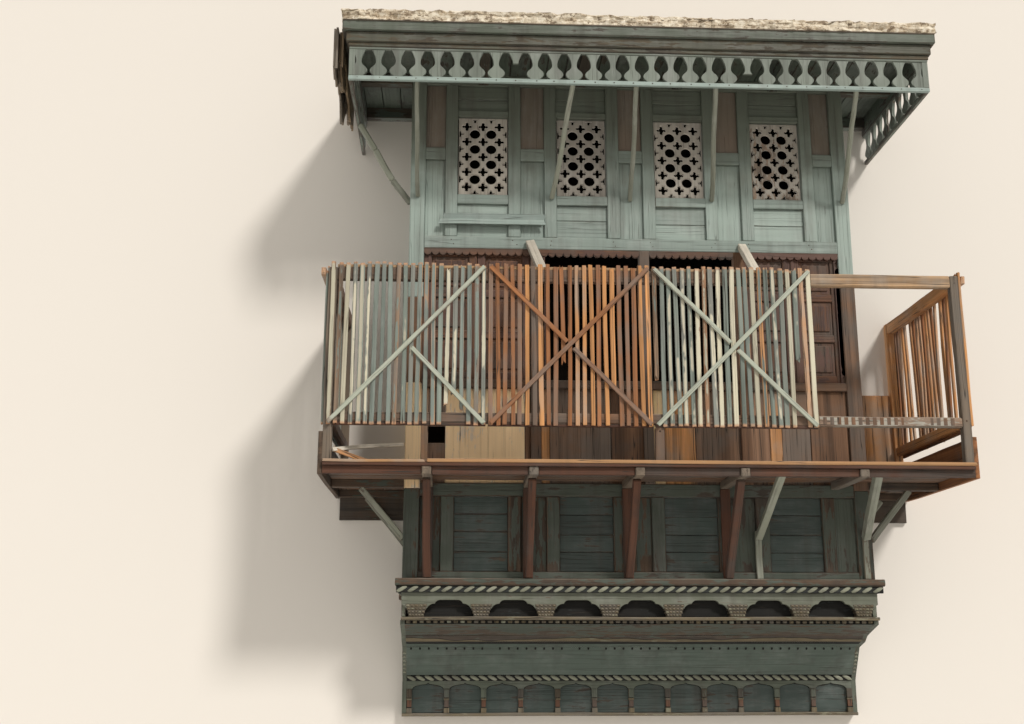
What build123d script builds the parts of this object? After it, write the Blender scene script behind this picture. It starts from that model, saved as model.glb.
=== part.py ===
from build123d import *
import os

# A timber mashrabiya oriel: a panelled box that hangs on a house wall under a plastered canopy, with
# an open slatted balcony around its middle and a stepped, carved base.
# Millimetres. X runs along the wall, Z is up and the wall's face is the plane Y = 0. Depths are
# measured out from the wall, towards -Y. The origin is the centre of the sill beam's back face.

# Box: its frame of posts, rails and stiles
BOX_WIDTH = 2700.0
BOX_DEPTH = 550.0
POST_SIZE = 90.0
FRAME_THICKNESS = 55.0
PANEL_THICKNESS = 18.0
PANEL_SETBACK = 20.0
SILL_BEAM_DEPTH = 90.0
SILL_BEAM_HEIGHT = 100.0
FLOOR_THICKNESS = 40.0
FLOOR_NOSING = 55.0
FLOOR_SIDE_NOSING = 36.0
NOSING_ROUND = 14.0

# Window bays along the front
WINDOW_COUNT = 4
WINDOW_PITCH = 606.0
WINDOW_WIDTH = 310.0
STILE_WIDTH = 75.0

# Heights of the box, from its floor up
LOWER_RAIL_HEIGHT = 40.0
LOWER_PANEL_HEIGHT = 426.0
SILL_RAIL_HEIGHT = 75.0
PARAPET_HEIGHT = 560.0
PARAPET_RAIL_HEIGHT = 50.0
MIDDLE_OPENING_HEIGHT = 810.0
TRANSOM_HEIGHT = 75.0
APRON_PANEL_HEIGHT = 210.0
FRET_RAIL_HEIGHT = 60.0
FRET_HEIGHT = 514.0
FRET_HEAD_HEIGHT = 40.0
TOP_PANEL_HEIGHT = 170.0
HEAD_RAIL_HEIGHT = 70.0
NARROW_PANEL_HEIGHT = 495.0
NARROW_RAIL_HEIGHT = 80.0

# Window frets: round holes on a square grid with four-pointed stars between them
FRET_THICKNESS = 20.0
FRET_GRID = 100.0
FRET_HOLE_RADIUS = 31.0
FRET_STAR_RADIUS = 31.0
FRET_STAR_WAIST = 9.0
FRET_BORDER = 9.0
FRET_HOLE_SIDES = 10
FRET_COLUMNS = 2
FRET_ROWS = 4

# Middle storey: posts, patched parapet, shutters and a scalloped trim
MIDDLE_POST_PLACES = (-590.0, 70.0, 645.0)
MIDDLE_POST_WIDTH = 60.0
PARAPET_BOARD_THICKNESS = 22.0
SHUTTER_THICKNESS = 30.0
SHUTTER_FRAME = 48.0
SHUTTER_SINK = 8.0
SHUTTER_GAP = 3.0
SHUTTER_FIELDS = 3
TRIM_BAND_HEIGHT = 23.0
SCALLOP_DROP = 23.0
SCALLOP_TIP_WIDTH = 18.0
TRIM_THICKNESS = 18.0
SCALLOP_PITCH = 45.0
MISSING_PATCH_WIDTH = 98.0
MISSING_PATCH_HEIGHT = 100.0
MISSING_PATCH_OFFSET = 42.0
MISSING_PATCH_RISE = 234.0

# Canopy
CANOPY_WIDTH = 3470.0
CANOPY_DEPTH = 1120.0
DECK_THICKNESS = 40.0
PLASTER_THICKNESS = 88.0
PLASTER_OVERHANG = 18.0
PLASTER_BEVEL = 22.0
FASCIA_THICKNESS = 65.0
FASCIA_UPPER_HEIGHT = 62.0
FASCIA_LOWER_HEIGHT = 62.0
FASCIA_LOWER_STEP = 22.0
FASCIA_BEAD_HEIGHT = 27.0
FASCIA_BEAD_STEP = 35.0
JOIST_WIDTH = 60.0
JOIST_HEIGHT = 70.0

# Valance: a row of cut-out balusters between a top strip and a bottom rail
VALANCE_THICKNESS = 22.0
VALANCE_HEIGHT = 204.0
VALANCE_RAIL_HEIGHT = 38.0
VALANCE_STRIP_HEIGHT = 6.0
VALANCE_SETBACK = 5.0
VALANCE_PITCH = 113.0
VALANCE_END_STILE = 50.0
# Where the valance has broken: which baluster, how far to its left and right, and how high
VALANCE_BREAK_BALUSTERS = (8, 20)
VALANCE_BREAK_LEFT = (81.0, 55.5)
VALANCE_BREAK_RIGHT = (82.0, 54.5)
VALANCE_BREAK_HEIGHTS = (128.0, 96.0)
# Right half of the goblet-shaped gap between balusters: shares of the pitch and of the drop
GAP_OUTLINE = (
    (0.09, 0.0), (0.20, 0.15), (0.29, 0.30), (0.34, 0.48),
    (0.28, 0.61), (0.05, 0.67), (0.05, 0.80), (0.39, 1.0),
)

# Struts between the valance and the box
STRUT_WIDTH = 26.0
STRUT_HEIGHT = 34.0
STRUT_TOPS = (-1300.0, -402.0, -31.0, 430.0, 1262.0)
STRUT_FEET = (-1302.0, -488.0, -4.0, 496.0, 1308.0)
STRUT_DROP = 520.0
SIDE_BRACE_WIDTH = 38.0
SIDE_BRACE_BOW = 70.0
SIDE_BRACE_DROP = 520.0

# Balcony
BALCONY_WIDTH = 3530.0
BALCONY_DEPTH = 1060.0
BALCONY_FLOOR_TOP = 640.0
BALCONY_FLOOR_THICKNESS = 30.0
FLOOR_JOINT = 3.0
NOSING_THICKNESS = 30.0
NOSING_LIP = 6.0
RIM_THICKNESS = 22.0
RIM_HEIGHT = 42.0
BEAM_WIDTH = 50.0
BEAM_HEIGHT = 46.0
BEAM_PLACES = (-1210.0, -640.0, -70.0, 500.0, 1150.0)
BALCONY_POST_SIZE = 48.0
STUB_POST_PLACE = 45.0
BALCONY_RAIL_DEPTH = 45.0
TOP_RAIL_HEIGHT = 70.0
LOW_RAIL_HEIGHT = 55.0
LATTICE_GAP = 188.0
LATTICE_HEIGHT = 917.0
SLAT_TOP_PROJECTION = 15.0
SLAT_WIDTH = 26.0
SLAT_THICKNESS = 16.0
SLAT_PITCH = 39.4
SLAT_BATTEN_HEIGHT = 17.0
SLAT_BATTEN_THICKNESS = 14.0
PANEL_LEFT_SLATS = 22
PANEL_MIDDLE_SLATS = 23
PANEL_RIGHT_SLATS = 23
SIDE_SLAT_PITCH = 46.0
LATTICE_BRACE_WIDTH = 30.0
LATTICE_BRACE_THICKNESS = 16.0
LATTICE_BRACE_GAP = 2.0
HANDRAIL_DEPTH = 26.0
HANDRAIL_HEIGHT = 44.0
SKIRT_THICKNESS = 24.0
SKIRT_HEIGHT = 230.0
BRACKET_WIDTH = 42.0
BRACKET_HEIGHT = 48.0
BRACKET_FOOT_WIDTH = 24.0
BRACKET_REACH = 410.0
BRACKET_LATH_WIDTH = 55.0
BRACKET_LATH_THICKNESS = 20.0
BRACKET_PLACES = BEAM_PLACES[:4]
PALE_BRACE_TOPS = (709.0, 1235.0)
PALE_BRACE_FEET = (682.0, 1305.0)
PALE_BRACE_FOOT_LEVEL = 284.0
PALE_BRACE_WIDTH = 36.0
PALE_BRACE_HEIGHT = 40.0
KNEE_REACH = 270.0
KNEE_DROP = 320.0
KNEE_THICKNESS = 36.0
KNEE_WIDTH = 46.0
KNEE_FOOT_HEIGHT = 55.0
LEDGER_THICKNESS = 24.0
LEDGER_HEIGHT = 180.0
WALL_BOARD_THICKNESS = 20.0
WALL_BOARD_HEIGHT = 604.0
WALL_BOARD_COUNT = 2
WALL_BOARD_GAP = 4.0
STAY_TOPS = (-622.0, 669.0)
STAY_FEET = (-564.0, 657.0)
STAY_SIZE = 45.0
LOOSE_BATTEN_SPAN = (-1191.0, -522.0)
LOOSE_BATTEN_LEVEL = 2188.0
LOOSE_BATTEN_HEIGHT = 42.0
LOOSE_BATTEN_THICKNESS = 24.0
LOOSE_BLOCK_WIDTH = 30.0
LOOSE_BLOCK_PLACES = (-1090.0, -722.0)
LOOSE_BLOCK_DROP = 38.0

# Base, from the floor down
FRIEZE_OVERHANG = 12.0
FRIEZE_THICKNESS = 25.0
FRIEZE_BAND_HEIGHT = 78.0
FRIEZE_CUSP_DROP = 46.0
NICHE_HEIGHT = 92.0
NICHE_COUNT = 7
NICHE_BACK_SETBACK = 50.0
CORBEL_WIDTH = 118.0
CUSP_FLARE = 50.0
CUSP_STEP = 20.0
CUSP_STEP_DROP = 16.0
CORBEL_PROJECTION = 10.0
ROPE_UPPER_RADIUS = 19.0
ROPE_UPPER_STAND = 15.0
ROPE_LOWER_STAND = 14.0
BASE_LEDGE_HEIGHT = 18.0
BASE_LEDGE_OVERHANG = 18.0
DENTIL_HEIGHT = 21.0
DENTIL_DEPTH = 25.0
SLOPE_RISE = 59.0
SLOPE_RUN = 200.0
SLOPE_SECTION = 66.0
BROKEN_BOARD_RISE = 35.0
BROKEN_BOARD_RUN = 48.0
BROKEN_BOARD_SECTION = 44.0
SHADOW_BOARD_RISE = 30.0
SHADOW_BOARD_RUN = 105.0
SHADOW_BOARD_SECTION = 66.0
COVE_HEIGHT = 160.0
COVE_RUN = 98.0
COVE_HOLLOW = 9.0
COVE_TOP_THICKNESS = 48.0
COVE_FOOT_THICKNESS = 24.0
ROPE_LOWER_RADIUS = 17.5
ARCADE_HEIGHT = 182.0
ARCADE_COUNT = 12
ARCADE_BACK_THICKNESS = 20.0
ARCADE_PLATE_THICKNESS = 16.0
ARCADE_SPRING_DROP = 46.0
ARCADE_APEX_DROP = 16.0
PILASTER_WIDTH = 34.0
PILASTER_PROJECTION = 6.0
# Right half of an ogee arch: shares of the half span and of the rise, up to its point
OGEE_OUTLINE = ((1.0, 0.0), (0.86, 0.42), (0.5, 0.68), (0.14, 0.8), (0.0, 1.0))
BOTTOM_LEDGE_HEIGHT = 18.0
BOTTOM_LEDGE_OVERHANG = 14.0
SIDE_BOARD_THICKNESS = 25.0
SIDE_BOARD_PROJECTION = 5.0
CORNER_JOINT = 1.0

# Levels, worked up from the sill beam's centre
FLOOR_TOP = SILL_BEAM_HEIGHT / 2
FLOOR_BOTTOM = FLOOR_TOP - FLOOR_THICKNESS
LOWER_RAIL_TOP = FLOOR_TOP + LOWER_RAIL_HEIGHT
SILL_BOTTOM = LOWER_RAIL_TOP + LOWER_PANEL_HEIGHT
SILL_TOP = SILL_BOTTOM + SILL_RAIL_HEIGHT
PARAPET_BOARD_TOP = SILL_TOP + PARAPET_HEIGHT
PARAPET_TOP = PARAPET_BOARD_TOP + PARAPET_RAIL_HEIGHT
TRANSOM_BOTTOM = PARAPET_TOP + MIDDLE_OPENING_HEIGHT
TRANSOM_TOP = TRANSOM_BOTTOM + TRANSOM_HEIGHT
APRON_TOP = TRANSOM_TOP + APRON_PANEL_HEIGHT
FRET_BOTTOM = APRON_TOP + FRET_RAIL_HEIGHT
FRET_TOP = FRET_BOTTOM + FRET_HEIGHT
TOP_PANEL_BOTTOM = FRET_TOP + FRET_HEAD_HEIGHT
HEAD_BOTTOM = TOP_PANEL_BOTTOM + TOP_PANEL_HEIGHT
SOFFIT = HEAD_BOTTOM + HEAD_RAIL_HEIGHT
NARROW_RAIL_BOTTOM = TRANSOM_TOP + NARROW_PANEL_HEIGHT
NARROW_RAIL_TOP = NARROW_RAIL_BOTTOM + NARROW_RAIL_HEIGHT
DECK_TOP = SOFFIT + DECK_THICKNESS
FASCIA_BOTTOM = DECK_TOP - FASCIA_UPPER_HEIGHT - FASCIA_LOWER_HEIGHT - FASCIA_BEAD_HEIGHT
VALANCE_BOTTOM = FASCIA_BOTTOM - VALANCE_HEIGHT
BALCONY_FLOOR_BOTTOM = BALCONY_FLOOR_TOP - BALCONY_FLOOR_THICKNESS
BEAM_BOTTOM = BALCONY_FLOOR_BOTTOM - BEAM_HEIGHT
LATTICE_BOTTOM = BALCONY_FLOOR_TOP + LATTICE_GAP
LATTICE_TOP = LATTICE_BOTTOM + LATTICE_HEIGHT
TOP_RAIL_TOP = LATTICE_TOP - SLAT_TOP_PROJECTION - SLAT_BATTEN_HEIGHT
LOW_RAIL_BOTTOM = LATTICE_BOTTOM + SLAT_BATTEN_HEIGHT
FRIEZE_CUSP_TOP = FLOOR_BOTTOM - FRIEZE_BAND_HEIGHT
NICHE_BOTTOM = FRIEZE_CUSP_TOP - NICHE_HEIGHT
CORBEL_TOP = FRIEZE_CUSP_TOP - FRIEZE_CUSP_DROP
LEDGE_BOTTOM = NICHE_BOTTOM - BASE_LEDGE_HEIGHT
DENTIL_BOTTOM = LEDGE_BOTTOM - DENTIL_HEIGHT
SLOPE_BOTTOM = DENTIL_BOTTOM - SLOPE_RISE
BROKEN_BOTTOM = SLOPE_BOTTOM - BROKEN_BOARD_RISE
COVE_TOP = BROKEN_BOTTOM - SHADOW_BOARD_RISE
COVE_BOTTOM = COVE_TOP - COVE_HEIGHT
ARCADE_TOP = COVE_BOTTOM - 2 * ROPE_LOWER_RADIUS
ARCADE_BOTTOM = ARCADE_TOP - ARCADE_HEIGHT
BASE_BOTTOM = ARCADE_BOTTOM - BOTTOM_LEDGE_HEIGHT

# Places along X and depths out from the wall
BOX_HALF = BOX_WIDTH / 2
POST_INNER = BOX_HALF - POST_SIZE
FRAME_BACK = BOX_DEPTH - FRAME_THICKNESS
PANEL_FRONT = BOX_DEPTH - PANEL_SETBACK
PANEL_BACK = PANEL_FRONT - PANEL_THICKNESS
SIDE_FRONT = BOX_DEPTH - POST_SIZE
WINDOW_CENTRES = [(i - (WINDOW_COUNT - 1) / 2) * WINDOW_PITCH for i in range(WINDOW_COUNT)]
STILE_INNER = WINDOW_WIDTH / 2
STILE_OUTER = STILE_INNER + STILE_WIDTH
CANOPY_HALF = CANOPY_WIDTH / 2
FASCIA_BACK = CANOPY_DEPTH - FASCIA_THICKNESS
DECK_HALF = CANOPY_HALF - FASCIA_THICKNESS
VALANCE_FRONT = CANOPY_DEPTH - FASCIA_BEAD_STEP - VALANCE_SETBACK
VALANCE_BACK = VALANCE_FRONT - VALANCE_THICKNESS
VALANCE_HALF = CANOPY_HALF - FASCIA_BEAD_STEP - VALANCE_SETBACK
BALCONY_HALF = BALCONY_WIDTH / 2
BALCONY_POST_INNER = BALCONY_HALF - BALCONY_POST_SIZE
BALCONY_POST_BACK = BALCONY_DEPTH - BALCONY_POST_SIZE
RAIL_BACK = BALCONY_DEPTH - BALCONY_RAIL_DEPTH
SLAT_FRONT = BALCONY_DEPTH + SLAT_THICKNESS
FRIEZE_FRONT = BOX_DEPTH + FRIEZE_OVERHANG
FRIEZE_BACK = FRIEZE_FRONT - FRIEZE_THICKNESS
FRIEZE_INNER = BOX_HALF - FRIEZE_THICKNESS
NICHE_WALL_FRONT = FRIEZE_FRONT - NICHE_BACK_SETBACK
SIDE_BOARD_OUTER = BOX_HALF + SIDE_BOARD_PROJECTION
SIDE_BOARD_INNER = SIDE_BOARD_OUTER - SIDE_BOARD_THICKNESS
SLOPE_TOP_DEPTH = FRIEZE_FRONT - DENTIL_DEPTH
SLOPE_FOOT_DEPTH = SLOPE_TOP_DEPTH - SLOPE_RUN
BROKEN_FOOT_DEPTH = SLOPE_FOOT_DEPTH - BROKEN_BOARD_RUN
COVE_TOP_DEPTH = BROKEN_FOOT_DEPTH - SHADOW_BOARD_RUN
COVE_FOOT_DEPTH = COVE_TOP_DEPTH - COVE_RUN
ARCADE_FRONT = COVE_FOOT_DEPTH - ROPE_LOWER_RADIUS
ARCADE_PLATE_BACK = ARCADE_FRONT - ARCADE_PLATE_THICKNESS
SIDES = (-1, 1)


def timber(x, depth, level):
    """A straight timber between two limits along X, out from the wall and up."""
    width, out, height = x[1] - x[0], depth[1] - depth[0], level[1] - level[0]
    centre = Pos((x[0] + x[1]) / 2, -(depth[0] + depth[1]) / 2, (level[0] + level[1]) / 2)
    return centre * Box(width, out, height)


def side_span(side, inner, outer):
    """Limits along X between two distances from the middle, on one side of it."""
    return tuple(sorted((side * inner, side * outer)))


def front_sheet(outline, back, thickness):
    """A sheet parallel to the wall, cut to an outline in X and Z."""
    return extrude(Plane.XZ.offset(back) * outline, amount=thickness)


def profile_board(points, x):
    """A board or moulding with one cross-section of (depth, level) points, run along X."""
    section = make_face(Polyline(*[(-depth, level) for depth, level in points], close=True))
    return extrude(Plane.YZ.offset(x[0]) * section, amount=x[1] - x[0])


def side_profile_board(points, depth):
    """A board or moulding with one cross-section of (x, level) points, run out from the wall."""
    section = make_face(Polyline(*points, close=True))
    return front_sheet(section, depth[0], depth[1] - depth[0])


def slanted_timber(top, foot, width, height):
    """A timber with upright ends, between two places given as (x, depth, level)."""
    end = Rectangle(width, height)
    return loft([Plane.XZ.offset(depth) * Pos(x, level) * end for x, depth, level in (top, foot)], ruled=True)


def write_node(name, solids):
    """Write one named piece, or a set of like pieces that don't touch, as a STEP file."""
    node = solids[0] if len(solids) == 1 else Compound(children=solids)
    node.label = name
    export_step(node, f"parts/{name}.step")


def box_posts():
    levels = (FLOOR_TOP, SOFFIT)
    depths = ((0, SILL_BEAM_DEPTH), (SIDE_FRONT, BOX_DEPTH))
    spans = [side_span(side, POST_INNER, BOX_HALF) for side in SIDES]
    return [timber(span, depth, levels) for span in spans for depth in depths]


def frame_rails():
    """The four long rails of the front and their returns along both sides."""
    levels = (
        (FLOOR_TOP, LOWER_RAIL_TOP),
        (SILL_BOTTOM, SILL_TOP),
        (TRANSOM_BOTTOM, TRANSOM_TOP),
        (HEAD_BOTTOM, SOFFIT),
    )
    rails = [timber((-POST_INNER, POST_INNER), (FRAME_BACK, BOX_DEPTH), level) for level in levels]
    for side in SIDES:
        across = side_span(side, BOX_HALF - FRAME_THICKNESS, BOX_HALF)
        rails += [timber(across, (SILL_BEAM_DEPTH, SIDE_FRONT), level) for level in levels]
    return rails


def frame_stiles():
    """A stile on each side of every window bay, in the lower and in the upper storey."""
    stiles = []
    for centre in WINDOW_CENTRES:
        for side in SIDES:
            across = sorted((centre + side * STILE_INNER, centre + side * STILE_OUTER))
            for level in ((LOWER_RAIL_TOP, SILL_BOTTOM), (TRANSOM_TOP, HEAD_BOTTOM)):
                stiles.append(timber(across, (FRAME_BACK, BOX_DEPTH), level))
    return stiles


def narrow_bays():
    """Limits along X of the narrow bays between and beside the windows."""
    edges = [-POST_INNER]
    for centre in WINDOW_CENTRES:
        edges += [centre - STILE_OUTER, centre + STILE_OUTER]
    edges.append(POST_INNER)
    return list(zip(edges[0::2], edges[1::2]))


def window_bays():
    return [(centre - STILE_INNER, centre + STILE_INNER) for centre in WINDOW_CENTRES]


def middle_bays():
    """Limits along X of the middle storey's bays, between its posts."""
    edges = [-POST_INNER]
    for place in MIDDLE_POST_PLACES:
        edges += [place - MIDDLE_POST_WIDTH / 2, place + MIDDLE_POST_WIDTH / 2]
    edges.append(POST_INNER)
    return list(zip(edges[0::2], edges[1::2]))


def short_rails():
    """Rails that run only from one stile or post to the next."""
    depth = (FRAME_BACK, BOX_DEPTH)
    rails = [timber(bay, depth, (APRON_TOP, FRET_BOTTOM)) for bay in window_bays()]
    rails += [timber(bay, depth, (FRET_TOP, TOP_PANEL_BOTTOM)) for bay in window_bays()]
    rails += [timber(bay, depth, (NARROW_RAIL_BOTTOM, NARROW_RAIL_TOP)) for bay in narrow_bays()]
    rails += [timber(bay, depth, (PARAPET_BOARD_TOP, PARAPET_TOP)) for bay in middle_bays()]
    for side in SIDES:
        across = side_span(side, BOX_HALF - FRAME_THICKNESS, BOX_HALF)
        for level in ((PARAPET_BOARD_TOP, PARAPET_TOP), (NARROW_RAIL_BOTTOM, NARROW_RAIL_TOP)):
            rails.append(timber(across, (SILL_BEAM_DEPTH, SIDE_FRONT), level))
    return rails


def side_panel(side, level):
    across = side_span(side, BOX_HALF - PANEL_SETBACK - PANEL_THICKNESS, BOX_HALF - PANEL_SETBACK)
    return timber(across, (SILL_BEAM_DEPTH, SIDE_FRONT), level)


def lower_panels():
    depth = (PANEL_BACK, PANEL_FRONT)
    level = (LOWER_RAIL_TOP, SILL_BOTTOM)
    panels = [timber(bay, depth, level) for bay in window_bays() + narrow_bays()]
    return panels + [side_panel(side, level) for side in SIDES]


def upper_panels():
    depth = (PANEL_BACK, PANEL_FRONT)
    narrow_levels = ((TRANSOM_TOP, NARROW_RAIL_BOTTOM), (NARROW_RAIL_TOP, HEAD_BOTTOM))
    panels = [timber(bay, depth, (TRANSOM_TOP, APRON_TOP)) for bay in window_bays()]
    panels += [timber(bay, depth, (TOP_PANEL_BOTTOM, HEAD_BOTTOM)) for bay in window_bays()]
    panels += [timber(bay, depth, level) for bay in narrow_bays() for level in narrow_levels]
    return panels + [side_panel(side, level) for side in SIDES for level in narrow_levels]


def fret_cuts():
    """The holes and stars of one window fret, kept inside its border."""
    cuts = Sketch()
    for i in range(FRET_COLUMNS):
        for j in range(FRET_ROWS):
            place = Pos((i - (FRET_COLUMNS - 1) / 2) * FRET_GRID, (j - (FRET_ROWS - 1) / 2) * FRET_GRID)
            cuts += place * RegularPolygon(FRET_HOLE_RADIUS, FRET_HOLE_SIDES)
    star = make_face(Polyline(*[
        (FRET_STAR_RADIUS, 0), (FRET_STAR_WAIST, FRET_STAR_WAIST),
        (0, FRET_STAR_RADIUS), (-FRET_STAR_WAIST, FRET_STAR_WAIST),
        (-FRET_STAR_RADIUS, 0), (-FRET_STAR_WAIST, -FRET_STAR_WAIST),
        (0, -FRET_STAR_RADIUS), (FRET_STAR_WAIST, -FRET_STAR_WAIST),
    ], close=True))
    for i in range(FRET_COLUMNS + 1):
        for j in range(FRET_ROWS + 1):
            cuts += Pos((i - FRET_COLUMNS / 2) * FRET_GRID, (j - FRET_ROWS / 2) * FRET_GRID) * star
    return cuts & Rectangle(WINDOW_WIDTH - 2 * FRET_BORDER, FRET_HEIGHT - 2 * FRET_BORDER)


def window_frets():
    fret = Rectangle(WINDOW_WIDTH, FRET_HEIGHT) - fret_cuts()
    middle = (FRET_BOTTOM + FRET_TOP) / 2
    back = PANEL_FRONT - FRET_THICKNESS
    return [front_sheet(Pos(centre, middle) * fret, back, FRET_THICKNESS) for centre in WINDOW_CENTRES]


def middle_posts():
    half = MIDDLE_POST_WIDTH / 2
    level = (SILL_TOP, TRANSOM_BOTTOM)
    return [timber((x - half, x + half), (FRAME_BACK, BOX_DEPTH), level) for x in MIDDLE_POST_PLACES]


def parapet_boards():
    """Board sheets under the parapet rail, the left one with its missing patch."""
    depth = (PANEL_FRONT - PARAPET_BOARD_THICKNESS, PANEL_FRONT)
    level = (SILL_TOP, PARAPET_BOARD_TOP)
    boards = [timber(bay, depth, level) for bay in middle_bays()]
    patch_left = -POST_INNER + MISSING_PATCH_OFFSET
    patch_bottom = SILL_TOP + MISSING_PATCH_RISE
    across = (patch_left, patch_left + MISSING_PATCH_WIDTH)
    boards[0] -= timber(across, depth, (patch_bottom, patch_bottom + MISSING_PATCH_HEIGHT))
    return boards + [side_panel(side, level) for side in SIDES]


def shutter_leaf(width, height):
    """One framed leaf with sunk panels on its outer face, drawn about its own centre."""
    leaf = Box(width, SHUTTER_THICKNESS, height)
    clear = height - SHUTTER_FRAME * (SHUTTER_FIELDS + 1)
    field = clear / SHUTTER_FIELDS
    for i in range(SHUTTER_FIELDS):
        middle = -height / 2 + SHUTTER_FRAME * (i + 1) + field * (i + 0.5)
        place = Pos(0, -(SHUTTER_THICKNESS - SHUTTER_SINK) / 2, middle)
        leaf -= place * Box(width - 2 * SHUTTER_FRAME, SHUTTER_SINK, field)
    return leaf


def shutters():
    """Closed pairs of leaves in the outer bays and one leaf in each side."""
    level = (PARAPET_TOP, TRANSOM_BOTTOM)
    height = level[1] - level[0]
    middle = (level[0] + level[1]) / 2
    leaves = []
    bays = middle_bays()
    for bay in (bays[0], bays[-1]):
        width = (bay[1] - bay[0] - SHUTTER_GAP) / 2
        for side in SIDES:
            x = (bay[0] + bay[1]) / 2 + side * (width + SHUTTER_GAP) / 2
            place = Pos(x, -(PANEL_FRONT - SHUTTER_THICKNESS / 2), middle)
            leaves.append(place * shutter_leaf(width, height))
    width = SIDE_FRONT - SILL_BEAM_DEPTH
    for side in SIDES:
        x = side * (BOX_HALF - PANEL_SETBACK - SHUTTER_THICKNESS / 2)
        place = Pos(x, -(SILL_BEAM_DEPTH + width / 2), middle)
        leaves.append(place * Rot(0, 0, side * 90) * shutter_leaf(width, height))
    return leaves


def scalloped_trim():
    """A hanging trim under the transom in every bay, its lower edge cut in blunt scallops."""
    band_bottom = TRANSOM_BOTTOM - TRIM_BAND_HEIGHT
    tip_level = band_bottom - SCALLOP_DROP
    pieces = []
    for left, right in middle_bays():
        count = round((right - left) / SCALLOP_PITCH)
        pitch = (right - left) / count
        band_middle = (TRANSOM_BOTTOM + band_bottom) / 2
        outline = Pos((left + right) / 2, band_middle) * Rectangle(right - left, TRIM_BAND_HEIGHT)
        for i in range(count):
            x = left + pitch * (i + 0.5)
            outline += make_face(Polyline(
                (x - pitch / 2, band_bottom), (x + pitch / 2, band_bottom),
                (x + SCALLOP_TIP_WIDTH / 2, tip_level), (x - SCALLOP_TIP_WIDTH / 2, tip_level), close=True
            ))
        pieces.append(front_sheet(outline, PANEL_FRONT, TRIM_THICKNESS))
    return pieces


def box_floor():
    """The floor board with its rounded nosing, in front of the sill beam."""
    half = BOX_HALF + FLOOR_SIDE_NOSING
    front = BOX_DEPTH + FLOOR_NOSING
    board = timber((-half, half), (SILL_BEAM_DEPTH, front), (FLOOR_BOTTOM, FLOOR_TOP))
    nosing = board.edges().filter_by(Axis.X).group_by(Axis.Y)[0]
    return [fillet(nosing, NOSING_ROUND)]


def sill_beam():
    half = BOX_HALF + FLOOR_SIDE_NOSING
    return [timber((-half, half), (0, SILL_BEAM_DEPTH), (-SILL_BEAM_HEIGHT / 2, SILL_BEAM_HEIGHT / 2))]


def canopy_plaster():
    """The thick lime topping, bevelled back at its upper edge."""
    half, front = CANOPY_HALF + PLASTER_OVERHANG, CANOPY_DEPTH + PLASTER_OVERHANG
    slab = timber((-half, half), (0, front), (DECK_TOP, DECK_TOP + PLASTER_THICKNESS))
    top = slab.faces().sort_by(Axis.Z)[-1].edges()
    wall_edge = top.sort_by(Axis.Y)[-1]
    return [chamfer([edge for edge in top if edge != wall_edge], PLASTER_BEVEL)]


def canopy_deck():
    return [timber((-DECK_HALF, DECK_HALF), (0, FASCIA_BACK), (SOFFIT, DECK_TOP))]


def canopy_joists():
    """Joists from the head rail to the fascia, and short ones from the posts to the side fascias."""
    level = (SOFFIT - JOIST_HEIGHT, SOFFIT)
    half, out = JOIST_WIDTH / 2, (BOX_DEPTH, FASCIA_BACK)
    joists = [timber((x - half, x + half), out, level) for x in WINDOW_CENTRES]
    for side in SIDES:
        for depth in ((0, JOIST_WIDTH), (BOX_DEPTH - JOIST_WIDTH, BOX_DEPTH)):
            joists.append(timber(side_span(side, BOX_HALF, DECK_HALF), depth, level))
    return joists


def fascia_steps(outer):
    """Cross-section of the stepped fascia, from its outer face inwards, as (distance, level) points."""
    upper_bottom = DECK_TOP - FASCIA_UPPER_HEIGHT
    lower_bottom = upper_bottom - FASCIA_LOWER_HEIGHT
    inner = outer - FASCIA_THICKNESS
    return [
        (inner, DECK_TOP), (outer, DECK_TOP), (outer, upper_bottom),
        (outer - FASCIA_LOWER_STEP, upper_bottom), (outer - FASCIA_LOWER_STEP, lower_bottom),
        (outer - FASCIA_BEAD_STEP, lower_bottom), (outer - FASCIA_BEAD_STEP, FASCIA_BOTTOM),
        (inner, FASCIA_BOTTOM),
    ]


def canopy_fascia():
    front = profile_board(fascia_steps(CANOPY_DEPTH), (-CANOPY_HALF, CANOPY_HALF))
    pieces = [front]
    for side in SIDES:
        points = [(side * x, level) for x, level in fascia_steps(CANOPY_HALF)]
        pieces.append(side_profile_board(points, (0, FASCIA_BACK - CORNER_JOINT)))
    return pieces


def valance_spacing(length):
    """How many gaps one valance has, and where its first baluster stands."""
    count = int((length - 2 * VALANCE_END_STILE) / VALANCE_PITCH)
    return count, (length - count * VALANCE_PITCH) / 2


def valance_openings(length):
    """The gaps between the cut-out balusters of one valance, about its lower left corner."""
    top = VALANCE_HEIGHT - VALANCE_STRIP_HEIGHT
    drop = top - VALANCE_RAIL_HEIGHT
    count, start = valance_spacing(length)
    gaps = Sketch()
    for i in range(count):
        middle = start + (i + 0.5) * VALANCE_PITCH
        right = [(middle + x * VALANCE_PITCH, top - t * drop) for x, t in GAP_OUTLINE]
        left = [(middle - x * VALANCE_PITCH, top - t * drop) for x, t in reversed(GAP_OUTLINE)]
        gaps += make_face(Polyline(*right, *left, close=True))
    return gaps


def valance_outline(length):
    return Pos(length / 2, VALANCE_HEIGHT / 2) * Rectangle(length, VALANCE_HEIGHT) - valance_openings(length)


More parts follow.
